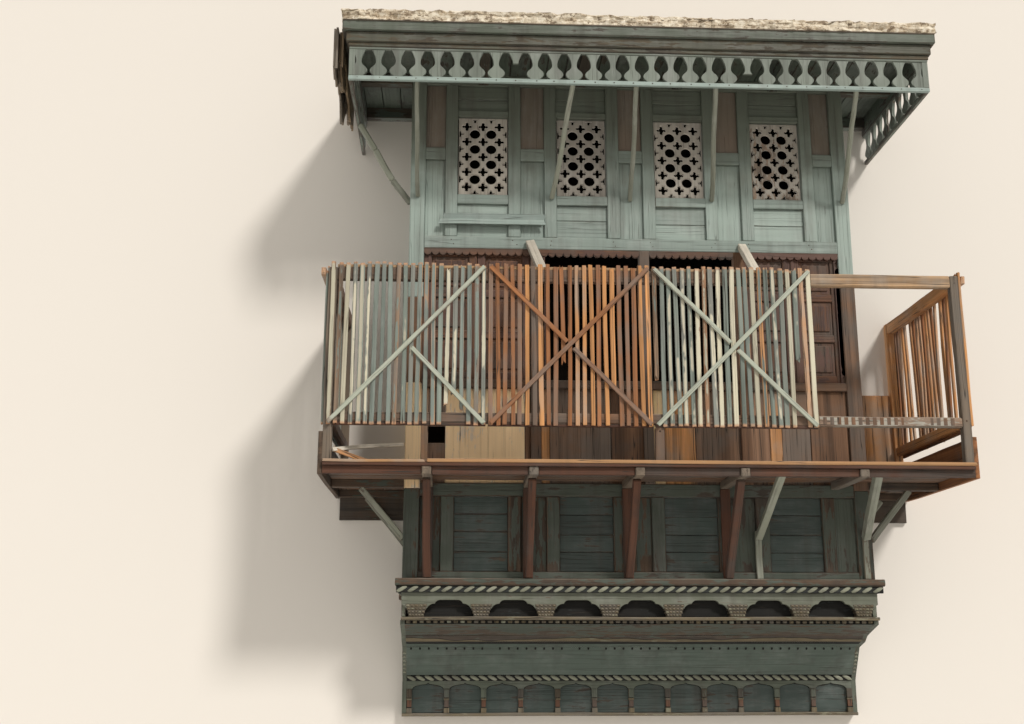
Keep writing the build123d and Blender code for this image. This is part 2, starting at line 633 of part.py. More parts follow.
def valance_front():
    """The front valance, with the two places where balusters and rail have broken away."""
    outline = Pos(-VALANCE_HALF, VALANCE_BOTTOM) * valance_outline(2 * VALANCE_HALF)
    first = valance_spacing(2 * VALANCE_HALF)[1] - VALANCE_HALF
    breaks = zip(VALANCE_BREAK_BALUSTERS, VALANCE_BREAK_LEFT, VALANCE_BREAK_RIGHT, VALANCE_BREAK_HEIGHTS)
    for number, left, right, height in breaks:
        x = first + number * VALANCE_PITCH + (right - left) / 2
        outline -= Pos(x, VALANCE_BOTTOM + height / 2) * Rectangle(left + right, height)
    return [front_sheet(outline, VALANCE_BACK, VALANCE_THICKNESS)]


def valance_sides():
    length = VALANCE_BACK - CORNER_JOINT
    outline = valance_outline(length)
    pieces = []
    for side in SIDES:
        plane = Plane.YZ.offset(side_span(side, VALANCE_HALF - VALANCE_THICKNESS, VALANCE_HALF)[0])
        pieces.append(extrude(plane * Pos(-length, VALANCE_BOTTOM) * outline, amount=VALANCE_THICKNESS))
    return pieces


def canopy_struts():
    """Slender struts from the valance rail down to the box, and one bowed stick at the left side."""
    top_level = VALANCE_BOTTOM + VALANCE_RAIL_HEIGHT / 2
    struts = []
    for top_x, foot_x in zip(STRUT_TOPS, STRUT_FEET):
        on_frame = any(abs(abs(foot_x) - abs(centre)) < STILE_OUTER for centre in WINDOW_CENTRES)
        on_post = abs(foot_x) > POST_INNER
        seat = BOX_DEPTH if on_frame or on_post else PANEL_FRONT
        head, foot = (top_x, VALANCE_BACK, top_level), (foot_x, seat, top_level - STRUT_DROP)
        struts.append(slanted_timber(head, foot, STRUT_WIDTH, STRUT_HEIGHT))
    inner, outer = -BOX_HALF, -(VALANCE_HALF - VALANCE_THICKNESS)
    high, low = top_level, top_level - SIDE_BRACE_DROP
    bow = ((inner + outer - SIDE_BRACE_BOW) / 2, (high + low + SIDE_BRACE_BOW) / 2)
    under = (bow[0] - SIDE_BRACE_WIDTH / 2, bow[1] - SIDE_BRACE_WIDTH / 2)
    stick = make_face([
        ThreePointArc((outer, high), bow, (inner, low)),
        Line((inner, low), (inner, low - SIDE_BRACE_WIDTH)),
        ThreePointArc((inner, low - SIDE_BRACE_WIDTH), under, (outer, high - SIDE_BRACE_WIDTH)),
        Line((outer, high - SIDE_BRACE_WIDTH), (outer, high)),
    ])
    struts.append(front_sheet(stick, SIDE_FRONT, STRUT_HEIGHT))
    return struts


def balcony_floor():
    """Floor boards across the front and along both sides of the box."""
    level = (BALCONY_FLOOR_BOTTOM, BALCONY_FLOOR_TOP)
    boards = [timber((-BALCONY_HALF, BALCONY_HALF), (BOX_DEPTH, BALCONY_DEPTH), level)]
    for side in SIDES:
        boards.append(timber(side_span(side, BOX_HALF, BALCONY_HALF), (0, BOX_DEPTH - FLOOR_JOINT), level))
    return boards


def floor_nosing():
    level = (BALCONY_FLOOR_BOTTOM, BALCONY_FLOOR_TOP + NOSING_LIP)
    depth = (BALCONY_DEPTH, BALCONY_DEPTH + NOSING_THICKNESS)
    return [timber((-BALCONY_HALF, BALCONY_HALF), depth, level)]


def floor_rim():
    """Rim boards between the beam ends, under the edge of the floor."""
    edges = [-BALCONY_HALF]
    for place in BEAM_PLACES:
        edges += [place - BEAM_WIDTH / 2, place + BEAM_WIDTH / 2]
    edges.append(BALCONY_HALF)
    depth = (BALCONY_DEPTH - RIM_THICKNESS, BALCONY_DEPTH)
    level = (BALCONY_FLOOR_BOTTOM - RIM_HEIGHT, BALCONY_FLOOR_BOTTOM)
    return [timber(span, depth, level) for span in zip(edges[0::2], edges[1::2])]


def floor_beams():
    """Beams from the box out under the front of the floor, and outriggers under its sides."""
    level = (BEAM_BOTTOM, BALCONY_FLOOR_BOTTOM)
    out = (BOX_DEPTH, BALCONY_DEPTH + NOSING_THICKNESS / 2)
    beams = [timber((x - BEAM_WIDTH / 2, x + BEAM_WIDTH / 2), out, level) for x in BEAM_PLACES]
    for side in SIDES:
        across = side_span(side, BOX_HALF, BALCONY_HALF)
        for depth in ((LEDGER_THICKNESS, LEDGER_THICKNESS + BEAM_WIDTH), (BOX_DEPTH - BEAM_WIDTH, BOX_DEPTH)):
            beams.append(timber(across, depth, level))
    return beams


def floor_brackets():
    """Slanted brackets from the base's nosing up to the beams, and knees under the outriggers."""
    foot = BOX_DEPTH + BRACKET_LATH_THICKNESS
    brackets = []
    for x in BRACKET_PLACES:
        points = [
            (foot, FLOOR_TOP), (foot + BRACKET_FOOT_WIDTH, FLOOR_TOP),
            (foot + BRACKET_REACH, BEAM_BOTTOM), (foot + BRACKET_REACH - BRACKET_HEIGHT, BEAM_BOTTOM),
            (foot, FLOOR_TOP + BRACKET_HEIGHT),
        ]
        brackets.append(profile_board(points, (x - BRACKET_WIDTH / 2, x + BRACKET_WIDTH / 2)))
    knee_foot, knee_head = BEAM_BOTTOM - KNEE_DROP, BOX_HALF + KNEE_REACH
    for side in SIDES:
        points = [
            (side * BOX_HALF, knee_foot), (side * knee_head, BEAM_BOTTOM),
            (side * (knee_head - KNEE_WIDTH), BEAM_BOTTOM), (side * BOX_HALF, knee_foot + KNEE_FOOT_HEIGHT),
        ]
        for start in (LEDGER_THICKNESS, BOX_DEPTH - BEAM_WIDTH):
            brackets.append(side_profile_board(points, (start, start + KNEE_THICKNESS)))
    return brackets


def bracket_laths():
    """Upright laths on the face of the box behind the brackets and the two pale braces."""
    depth = (BOX_DEPTH, BOX_DEPTH + BRACKET_LATH_THICKNESS)
    half, level = BRACKET_LATH_WIDTH / 2, (FLOOR_TOP, BEAM_BOTTOM)
    laths = [timber((x - half, x + half), depth, level) for x in BRACKET_PLACES]
    half, level = PALE_BRACE_WIDTH / 2, (FLOOR_TOP, PALE_BRACE_FOOT_LEVEL + PALE_BRACE_HEIGHT)
    return laths + [timber((x - half, x + half), depth, level) for x in PALE_BRACE_FEET]


def pale_braces():
    """Two newer braces from the rim down to the laths on the box."""
    top_level = BALCONY_FLOOR_BOTTOM - PALE_BRACE_HEIGHT / 2
    braces = []
    for top_x, foot_x in zip(PALE_BRACE_TOPS, PALE_BRACE_FEET):
        head = (top_x, BALCONY_DEPTH - RIM_THICKNESS, top_level)
        foot = (foot_x, BOX_DEPTH + BRACKET_LATH_THICKNESS, PALE_BRACE_FOOT_LEVEL)
        braces.append(slanted_timber(head, foot, PALE_BRACE_WIDTH, PALE_BRACE_HEIGHT))
    return braces


def balcony_posts():
    """Corner posts of the lattice, its posts at the wall and a stub post under one panel joint."""
    level = (BALCONY_FLOOR_TOP, TOP_RAIL_TOP)
    front = (BALCONY_POST_BACK, BALCONY_DEPTH)
    posts = []
    for side in SIDES:
        across = side_span(side, BALCONY_POST_INNER, BALCONY_HALF)
        posts += [timber(across, depth, level) for depth in ((0, BALCONY_POST_SIZE), front)]
    stub = (STUB_POST_PLACE - BALCONY_POST_SIZE / 2, STUB_POST_PLACE + BALCONY_POST_SIZE / 2)
    return posts + [timber(stub, front, (BALCONY_FLOOR_TOP, LATTICE_BOTTOM))]


def balcony_rails():
    low = (LOW_RAIL_BOTTOM, LOW_RAIL_BOTTOM + LOW_RAIL_HEIGHT)
    high = (TOP_RAIL_TOP - TOP_RAIL_HEIGHT, TOP_RAIL_TOP)
    rails = []
    for level in (low, high):
        rails.append(timber((-BALCONY_POST_INNER, BALCONY_POST_INNER), (RAIL_BACK, BALCONY_DEPTH), level))
        for side in SIDES:
            across = side_span(side, BALCONY_HALF - BALCONY_RAIL_DEPTH, BALCONY_HALF)
            rails.append(timber(across, (BALCONY_POST_SIZE, BALCONY_POST_BACK), level))
    return rails


def lattice_edges():
    """Left edge of each front panel along X, and the right edge of the last one."""
    edges = [-BALCONY_HALF + (SLAT_PITCH - SLAT_WIDTH)]
    for count in (PANEL_LEFT_SLATS, PANEL_MIDDLE_SLATS, PANEL_RIGHT_SLATS):
        edges.append(edges[-1] + count * SLAT_PITCH)
    return edges


def slat_row(count, pitch, batten_span):
    """Upright slats on a thin batten at their foot and another at their head, drawn from X = 0."""
    level = (LATTICE_BOTTOM, LATTICE_TOP)
    slats = [timber((i * pitch, i * pitch + SLAT_WIDTH), (0, SLAT_THICKNESS), level) for i in range(count)]
    low = (LATTICE_BOTTOM, LATTICE_BOTTOM + SLAT_BATTEN_HEIGHT)
    high = (TOP_RAIL_TOP, TOP_RAIL_TOP + SLAT_BATTEN_HEIGHT)
    battens = [timber(batten_span, (-SLAT_BATTEN_THICKNESS, 0), band) for band in (low, high)]
    return Part() + slats + battens


def lattice_panel(index, count):
    """One slatted panel of the front, its battens clear of the corner post."""
    left = lattice_edges()[index]
    batten_start = max(0, -BALCONY_POST_INNER - left)
    batten_end = count * SLAT_PITCH - (SLAT_PITCH - SLAT_WIDTH)
    return [Pos(left, -BALCONY_DEPTH, 0) * slat_row(count, SLAT_PITCH, (batten_start, batten_end))]


def lattice_braces():
    """Diagonal laths nailed over the slats: one and a half in the left panel, crossed pairs in the others."""
    edges = lattice_edges()
    low, high = LATTICE_BOTTOM, LATTICE_TOP - SLAT_TOP_PROJECTION
    laths = []
    for i in range(len(edges) - 1):
        left, right = edges[i], edges[i + 1] - (SLAT_PITCH - SLAT_WIDTH)
        run, rise = right - left, high - low
        middle = Vector((left + right) / 2, (low + high) / 2)
        panel = Pos(middle.X, middle.Y) * Rectangle(run, rise)
        reach = LATTICE_BRACE_WIDTH / 2 * (run**2 + rise**2) ** 0.5 / rise + LATTICE_BRACE_GAP
        step = Vector(reach, -reach * rise / run)
        laths.append(lath_between(Vector(left, low), Vector(right, high), panel))
        laths.append(lath_between(middle + step, Vector(right, low), panel))
        if i > 0:
            laths.append(lath_between(Vector(left, high), middle - step, panel))
    return laths


def lath_between(start, end, panel):
    """A flat lath on the slats between two places in X and Z, its upright ends trimmed to the panel."""
    across = end - start
    rise = Vector(0, LATTICE_BRACE_WIDTH / 2 * across.length / across.X)
    outline = make_face(Polyline(start - rise, end - rise, end + rise, start + rise, close=True))
    return front_sheet(outline & panel, SLAT_FRONT, LATTICE_BRACE_THICKNESS)


def lattice_side(side):
    """The slatted side of the balcony, on the outer face of its rails."""
    count = int((BALCONY_DEPTH + SIDE_SLAT_PITCH - SLAT_WIDTH) / SIDE_SLAT_PITCH)
    row = slat_row(count, SIDE_SLAT_PITCH, (BALCONY_POST_SIZE, BALCONY_POST_BACK))
    turn = Rot(0, 0, side * 90)
    start = -BALCONY_DEPTH if side > 0 else 0
    return [Pos(side * BALCONY_HALF, start, 0) * turn * row]


def handrails():
    """Rails outside the side slats, at the height of the top rail."""
    level = (TOP_RAIL_TOP - HANDRAIL_HEIGHT, TOP_RAIL_TOP)
    inner = BALCONY_HALF + SLAT_THICKNESS
    outer = inner + HANDRAIL_DEPTH
    return [timber(side_span(side, inner, outer), (0, BALCONY_DEPTH), level) for side in SIDES]


def side_skirts():
    """Boards on edge along the outer sides of the floor."""
    level = (BEAM_BOTTOM, BEAM_BOTTOM + SKIRT_HEIGHT)
    outer = BALCONY_HALF + SKIRT_THICKNESS
    return [timber(side_span(side, BALCONY_HALF, outer), (0, BALCONY_DEPTH), level) for side in SIDES]


def wall_ledgers():
    level = (BALCONY_FLOOR_BOTTOM - LEDGER_HEIGHT, BALCONY_FLOOR_BOTTOM)
    return [timber(side_span(side, BOX_HALF, BALCONY_HALF), (0, LEDGER_THICKNESS), level) for side in SIDES]


def wall_boards():
    """Upright boards on the house wall, from the box to the right wall post of the balcony."""
    left, right = BOX_HALF, BALCONY_POST_INNER
    pitch = (right - left + WALL_BOARD_GAP) / WALL_BOARD_COUNT
    starts = [left + i * pitch for i in range(WALL_BOARD_COUNT)]
    level = (BALCONY_FLOOR_TOP, BALCONY_FLOOR_TOP + WALL_BOARD_HEIGHT)
    return [timber((x, x + pitch - WALL_BOARD_GAP), (0, WALL_BOARD_THICKNESS), level) for x in starts]


def balcony_stays():
    """Two stays that tie the lattice's top rail back to the transom."""
    head_level, foot_level = TRANSOM_TOP - TRANSOM_HEIGHT / 2, TOP_RAIL_TOP - TOP_RAIL_HEIGHT / 2
    stays = []
    for top_x, foot_x in zip(STAY_TOPS, STAY_FEET):
        head, foot = (top_x, BOX_DEPTH, head_level), (foot_x, RAIL_BACK, foot_level)
        stays.append(slanted_timber(head, foot, STAY_SIZE, STAY_SIZE))
    return stays


def loose_batten():
    """A batten nailed across the front under the windows, with two blocks below it."""
    depth = (BOX_DEPTH, BOX_DEPTH + LOOSE_BATTEN_THICKNESS)
    level = (LOOSE_BATTEN_LEVEL, LOOSE_BATTEN_LEVEL + LOOSE_BATTEN_HEIGHT)
    batten = timber(LOOSE_BATTEN_SPAN, depth, level)
    below = (LOOSE_BATTEN_LEVEL - LOOSE_BLOCK_DROP, LOOSE_BATTEN_LEVEL)
    for x in LOOSE_BLOCK_PLACES:
        batten += timber((x, x + LOOSE_BLOCK_WIDTH), depth, below)
    return [batten]


def rope_section(stand, radius, level):
    """Outline of a rope moulding: a round bead on a short neck, as (distance, level) from its seat."""
    return make_face([
        Line((0, level + radius), (stand, level + radius)),
        ThreePointArc((stand, level + radius), (stand + radius, level), (stand, level - radius)),
        Line((stand, level - radius), (0, level - radius)),
        Line((0, level - radius), (0, level + radius)),
    ])


def rope_upper():
    """The rope moulding under the floor's nosing, along the front and back along both sides."""
    level = FLOOR_BOTTOM - ROPE_UPPER_RADIUS
    section = rope_section(ROPE_UPPER_STAND, ROPE_UPPER_RADIUS, level)
    reach = ROPE_UPPER_STAND + ROPE_UPPER_RADIUS
    half = BOX_HALF + reach
    along_x = Plane(origin=(-half, -FRIEZE_FRONT, 0), x_dir=(0, -1, 0), z_dir=(-1, 0, 0))
    pieces = [extrude(along_x * section, amount=-2 * half)]
    for side in SIDES:
        start = (side * BOX_HALF, -SILL_BEAM_DEPTH, 0)
        plane = Plane(origin=start, x_dir=(side, 0, 0), z_dir=(0, -side, 0))
        length = FRIEZE_FRONT - SILL_BEAM_DEPTH - CORNER_JOINT
        pieces.append(extrude(plane * section, amount=side * length))
    return pieces


def corbel_places():
    """Middles of the corbels between the niches, along X."""
    pitch = (2 * FRIEZE_INNER - CORBEL_WIDTH) / NICHE_COUNT
    return [-FRIEZE_INNER + CORBEL_WIDTH / 2 + i * pitch for i in range(NICHE_COUNT + 1)]


def frieze():
    """The front board with its flat cusped arches over the niches, and plain boards at the sides."""
    outline = Pos(0, (FLOOR_BOTTOM + FRIEZE_CUSP_TOP) / 2) * Rectangle(BOX_WIDTH, FRIEZE_BAND_HEIGHT)
    for x in corbel_places():
        foot, step = CORBEL_WIDTH / 2, CORBEL_WIDTH / 2 + CUSP_STEP
        head, step_level = CORBEL_WIDTH / 2 + CUSP_FLARE, FRIEZE_CUSP_TOP - CUSP_STEP_DROP
        outline += make_face(Polyline(
            (x - head, FRIEZE_CUSP_TOP), (x - step, step_level), (x - foot, CORBEL_TOP),
            (x + foot, CORBEL_TOP), (x + step, step_level), (x + head, FRIEZE_CUSP_TOP), close=True
        ))
    outline &= Pos(0, (FLOOR_BOTTOM + NICHE_BOTTOM) / 2) * Rectangle(BOX_WIDTH, FLOOR_BOTTOM - NICHE_BOTTOM)
    boards = [front_sheet(outline, FRIEZE_BACK, FRIEZE_THICKNESS)]
    depth, level = (SILL_BEAM_DEPTH, FRIEZE_BACK - CORNER_JOINT), (NICHE_BOTTOM, FLOOR_BOTTOM)
    return boards + [timber(side_span(side, FRIEZE_INNER, BOX_HALF), depth, level) for side in SIDES]


def frieze_corbels():
    """Blocks between the niches, under the feet of the cusped arches."""
    depth, level = (NICHE_WALL_FRONT, FRIEZE_FRONT + CORBEL_PROJECTION), (NICHE_BOTTOM, CORBEL_TOP)
    return [timber((x - CORBEL_WIDTH / 2, x + CORBEL_WIDTH / 2), depth, level) for x in corbel_places()]


def niche_wall():
    depth = (NICHE_WALL_FRONT - FRIEZE_THICKNESS, NICHE_WALL_FRONT)
    return [timber((-FRIEZE_INNER, FRIEZE_INNER), depth, (NICHE_BOTTOM, FLOOR_BOTTOM))]


def base_ledge():
    depth = (0, FRIEZE_FRONT + BASE_LEDGE_OVERHANG)
    return [timber((-BOX_HALF, BOX_HALF), depth, (LEDGE_BOTTOM, NICHE_BOTTOM))]


def dentil_strip():
    depth = (SLOPE_TOP_DEPTH - DENTIL_DEPTH, SLOPE_TOP_DEPTH)
    return [timber((-SIDE_BOARD_INNER, SIDE_BOARD_INNER), depth, (DENTIL_BOTTOM, LEDGE_BOTTOM))]


def sloping_board(top, foot, section):
    """A board between two (depth, level) places, its back face set in by its upright section."""
    points = [top, foot, (foot[0] - section, foot[1]), (top[0] - section, top[1])]
    return [profile_board(points, (-SIDE_BOARD_INNER, SIDE_BOARD_INNER))]


def slope_board():
    return sloping_board((SLOPE_TOP_DEPTH, DENTIL_BOTTOM), (SLOPE_FOOT_DEPTH, SLOPE_BOTTOM), SLOPE_SECTION)


def broken_board():
    top, foot = (SLOPE_FOOT_DEPTH, SLOPE_BOTTOM), (BROKEN_FOOT_DEPTH, BROKEN_BOTTOM)
    return sloping_board(top, foot, BROKEN_BOARD_SECTION)


def shadow_board():
    top, foot = (BROKEN_FOOT_DEPTH, BROKEN_BOTTOM), (COVE_TOP_DEPTH, COVE_TOP)
    return sloping_board(top, foot, SHADOW_BOARD_SECTION)


def cove_board():
    """The wide hollow-faced board that brings the base in towards the wall."""
    top, foot = (-COVE_TOP_DEPTH, COVE_TOP), (-COVE_FOOT_DEPTH, COVE_BOTTOM)
    hollow = ((top[0] + foot[0]) / 2 + COVE_HOLLOW, (top[1] + foot[1]) / 2 + COVE_HOLLOW / 2)
    section = make_face([
        ThreePointArc(top, hollow, foot),
        Line(foot, (foot[0] + COVE_FOOT_THICKNESS, foot[1])),
        Line((foot[0] + COVE_FOOT_THICKNESS, foot[1]), (top[0] + COVE_TOP_THICKNESS, top[1])),
        Line((top[0] + COVE_TOP_THICKNESS, top[1]), top),
    ])
    return [extrude(Plane.YZ.offset(-SIDE_BOARD_INNER) * section, amount=2 * SIDE_BOARD_INNER)]


def rope_lower():
    section = rope_section(ROPE_LOWER_STAND, ROPE_LOWER_RADIUS, ARCADE_TOP + ROPE_LOWER_RADIUS)
    plane = Plane(origin=(-SIDE_BOARD_INNER, -ARCADE_PLATE_BACK, 0), x_dir=(0, -1, 0), z_dir=(-1, 0, 0))
    return [extrude(plane * section, amount=-2 * SIDE_BOARD_INNER)]


def arcade_pitch():
    return (2 * SIDE_BOARD_INNER - PILASTER_WIDTH) / ARCADE_COUNT


def arcade_arches():
    """The plate of small ogee arches that stands on the pilasters."""
    pitch = arcade_pitch()
    spring, apex = ARCADE_TOP - ARCADE_SPRING_DROP, ARCADE_TOP - ARCADE_APEX_DROP
    outline = Pos(0, (ARCADE_TOP + spring) / 2) * Rectangle(2 * SIDE_BOARD_INNER, ARCADE_SPRING_DROP)
    half, rise = (pitch - PILASTER_WIDTH) / 2, apex - spring
    for i in range(ARCADE_COUNT):
        middle = -SIDE_BOARD_INNER + PILASTER_WIDTH / 2 + pitch * (i + 0.5)
        right = [(middle + x * half, spring + t * rise) for x, t in OGEE_OUTLINE]
        left = [(middle - x * half, spring + t * rise) for x, t in reversed(OGEE_OUTLINE) if x > 0]
        outline -= make_face(Polyline(*right, *left, close=True))
    return [front_sheet(outline, ARCADE_PLATE_BACK, ARCADE_PLATE_THICKNESS)]


def arcade_pilasters():
    pitch = arcade_pitch()
    depth = (ARCADE_PLATE_BACK, ARCADE_FRONT + PILASTER_PROJECTION)
    places = [-SIDE_BOARD_INNER + i * pitch for i in range(ARCADE_COUNT + 1)]
    level = (ARCADE_BOTTOM, ARCADE_TOP - ARCADE_SPRING_DROP)
    return [timber((x, x + PILASTER_WIDTH), depth, level) for x in places]


def arcade_back():
    depth = (ARCADE_PLATE_BACK - ARCADE_BACK_THICKNESS, ARCADE_PLATE_BACK)
    return [timber((-SIDE_BOARD_INNER, SIDE_BOARD_INNER), depth, (ARCADE_BOTTOM, COVE_BOTTOM))]


def bottom_ledge():
    depth = (0, ARCADE_FRONT + BOTTOM_LEDGE_OVERHANG)
    return [timber((-SIDE_BOARD_OUTER, SIDE_BOARD_OUTER), depth, (BASE_BOTTOM, ARCADE_BOTTOM))]


def side_boards():
    """The two end boards, cut to the base's stepped profile."""
    points = [
        (0, LEDGE_BOTTOM), (SLOPE_TOP_DEPTH, LEDGE_BOTTOM), (SLOPE_TOP_DEPTH, DENTIL_BOTTOM),
        (SLOPE_FOOT_DEPTH, SLOPE_BOTTOM), (BROKEN_FOOT_DEPTH, BROKEN_BOTTOM), (COVE_TOP_DEPTH, COVE_TOP),
        (COVE_FOOT_DEPTH, COVE_BOTTOM), (ARCADE_FRONT, ARCADE_TOP), (ARCADE_FRONT, ARCADE_BOTTOM),
        (0, ARCADE_BOTTOM),
    ]
    return [profile_board(points, side_span(side, SIDE_BOARD_INNER, SIDE_BOARD_OUTER)) for side in SIDES]


NODES = {
    "canopy_plaster": canopy_plaster(),
    "canopy_deck": canopy_deck(),
    "canopy_joists": canopy_joists(),
    "canopy_fascia": canopy_fascia(),
    "valance_front": valance_front(),
    "valance_sides": valance_sides(),
    "canopy_struts": canopy_struts(),
    "box_posts": box_posts(),
    "frame_rails": frame_rails(),
    "frame_stiles": frame_stiles(),
    "short_rails": short_rails(),
    "upper_panels": upper_panels(),
    "lower_panels": lower_panels(),
    "window_frets": window_frets(),
    "middle_posts": middle_posts(),
    "parapet_boards": parapet_boards(),
    "shutters": shutters(),
    "scalloped_trim": scalloped_trim(),
    "loose_batten": loose_batten(),
    "box_floor": box_floor(),
    "sill_beam": sill_beam(),
    "balcony_floor": balcony_floor(),
    "floor_nosing": floor_nosing(),
    "floor_rim": floor_rim(),
    "floor_beams": floor_beams(),
    "floor_brackets": floor_brackets(),
    "bracket_laths": bracket_laths(),
    "pale_braces": pale_braces(),
    "balcony_posts": balcony_posts(),
    "balcony_rails": balcony_rails(),
    "lattice_left": lattice_panel(0, PANEL_LEFT_SLATS),
    "lattice_middle": lattice_panel(1, PANEL_MIDDLE_SLATS),
    "lattice_right": lattice_panel(2, PANEL_RIGHT_SLATS),
    "lattice_braces": lattice_braces(),
    "lattice_side_left": lattice_side(-1),
    "lattice_side_right": lattice_side(1),
    "handrails": handrails(),
    "side_skirts": side_skirts(),
    "wall_ledgers": wall_ledgers(),
    "wall_boards": wall_boards(),
    "balcony_stays": balcony_stays(),
    "rope_upper": rope_upper(),
    "frieze": frieze(),
    "frieze_corbels": frieze_corbels(),
    "niche_wall": niche_wall(),
    "base_ledge": base_ledge(),
    "dentil_strip": dentil_strip(),
    "slope_board": slope_board(),
    "broken_board": broken_board(),
    "shadow_board": shadow_board(),
    "cove_board": cove_board(),
    "rope_lower": rope_lower(),
    "arcade_back": arcade_back(),
    "arcade_arches": arcade_arches(),
    "arcade_pilasters": arcade_pilasters(),
    "bottom_ledge": bottom_ledge(),
    "side_boards": side_boards(),
}

os.makedirs("parts", exist_ok=True)
for name, solids in NODES.items():
    write_node(name, solids)
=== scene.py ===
# %% [markdown]
# # A carved timber oriel, dressed for its photograph
# This lesson dresses a finished CAD model: a wooden oriel with fret windows, a slatted balcony, a
# plastered canopy and a stepped, carved base. The CAD part fixes every size, so we load it first and
# read all places from it. Each CAD node is then hidden behind a piece with real boards, worn edges
# and old paint.

# %% Load the fixed frame
import math

import bmesh
import bpy
import numpy as np
from mathutils import Matrix, Vector, noise


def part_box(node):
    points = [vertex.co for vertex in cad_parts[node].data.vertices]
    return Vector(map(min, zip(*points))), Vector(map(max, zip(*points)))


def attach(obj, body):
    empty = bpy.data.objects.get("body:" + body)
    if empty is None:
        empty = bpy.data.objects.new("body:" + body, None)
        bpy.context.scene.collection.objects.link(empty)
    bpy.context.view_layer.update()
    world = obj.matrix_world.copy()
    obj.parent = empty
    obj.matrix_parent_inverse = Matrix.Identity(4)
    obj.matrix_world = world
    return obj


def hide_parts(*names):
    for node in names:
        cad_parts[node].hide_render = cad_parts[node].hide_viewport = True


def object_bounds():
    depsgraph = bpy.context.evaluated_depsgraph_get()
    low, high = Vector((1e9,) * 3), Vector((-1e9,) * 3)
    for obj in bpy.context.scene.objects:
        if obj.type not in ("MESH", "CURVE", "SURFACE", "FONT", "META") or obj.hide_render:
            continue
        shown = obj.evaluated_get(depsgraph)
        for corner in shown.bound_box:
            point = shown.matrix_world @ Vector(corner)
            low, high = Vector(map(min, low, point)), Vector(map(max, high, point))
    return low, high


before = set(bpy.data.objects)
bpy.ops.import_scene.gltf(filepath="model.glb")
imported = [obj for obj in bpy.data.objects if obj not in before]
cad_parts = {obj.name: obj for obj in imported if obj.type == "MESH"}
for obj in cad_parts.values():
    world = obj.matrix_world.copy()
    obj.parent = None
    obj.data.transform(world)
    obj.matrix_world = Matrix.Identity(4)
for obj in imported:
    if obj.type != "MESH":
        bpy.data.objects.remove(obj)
cad_low, cad_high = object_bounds()
BODY = "root"
print("CAD box", [round(v, 3) for v in cad_low], [round(v, 3) for v in cad_high])

# %% [markdown]
# ## Camera
# The picture was taken from the street, left of the middle and looking up by about fourteen degrees.
# The lines that run up the building meet far above it, which gives the pitch, and the long rails give
# the turn. A camera in Blender looks along its own -Z, so we turn that axis along the heading.

# %% The photographer's camera
IMAGE_WIDTH = 1024
FOCAL_PIXELS = 1183
SENSOR = 36.0
CAMERA_PLACE = Vector((-1.056, -7.311, -0.340))
PITCH, YAW = math.radians(13.68), math.radians(2.75)

camera_data = bpy.data.cameras.new("street_camera")
camera_data.sensor_width = SENSOR
camera_data.lens = SENSOR * FOCAL_PIXELS / IMAGE_WIDTH
camera = bpy.data.objects.new("street_camera", camera_data)
bpy.context.scene.collection.objects.link(camera)
bpy.context.scene.camera = camera
heading = Vector((math.sin(YAW) * math.cos(PITCH), math.cos(YAW) * math.cos(PITCH), math.sin(PITCH)))
turn = heading.to_track_quat("-Z", "Y").to_matrix().to_4x4()
camera.matrix_world = Matrix.Translation(CAMERA_PLACE) @ turn
print("lens", round(camera_data.lens, 2), "mm")

# %% [markdown]
# ## Shader helpers
# Old painted wood needs a lot of arithmetic: how far is this point from the board's edge, is the
# flake gone here, how wet does rain run down. Nodes are hard to read as code, so a small class wraps
# a socket, and the usual operators on it add Math nodes. Everything else comes from one method, add.

# %% Numbers that vary over a surface
class Varying:
    """A socket whose value changes over the surface; arithmetic on it adds Math nodes."""

    def __init__(self, shader, socket):
        self.shader = shader
        self.socket = socket

    def math(self, operation, *others):
        values = dict(enumerate((self,) + others))
        return self.shader.add("ShaderNodeMath", {"operation": operation}, values)

    def __add__(self, other):
        return self.math("ADD", other)

    def __radd__(self, other):
        return self.math("ADD", other)

    def __sub__(self, other):
        return self.math("SUBTRACT", other)

    def __rsub__(self, other):
        return self.shader.add("ShaderNodeMath", {"operation": "SUBTRACT"}, {0: other, 1: self})

    def __mul__(self, other):
        return self.math("MULTIPLY", other)

    def __rmul__(self, other):
        return self.math("MULTIPLY", other)

    def __abs__(self):
        return self.math("ABSOLUTE")

    def step(self, low, high):
        """0 below low, 1 above high, and a smooth rise between them."""
        settings = {"interpolation_type": "SMOOTHSTEP"}
        return self.shader.add("ShaderNodeMapRange", settings, {0: self, 1: low, 2: high})


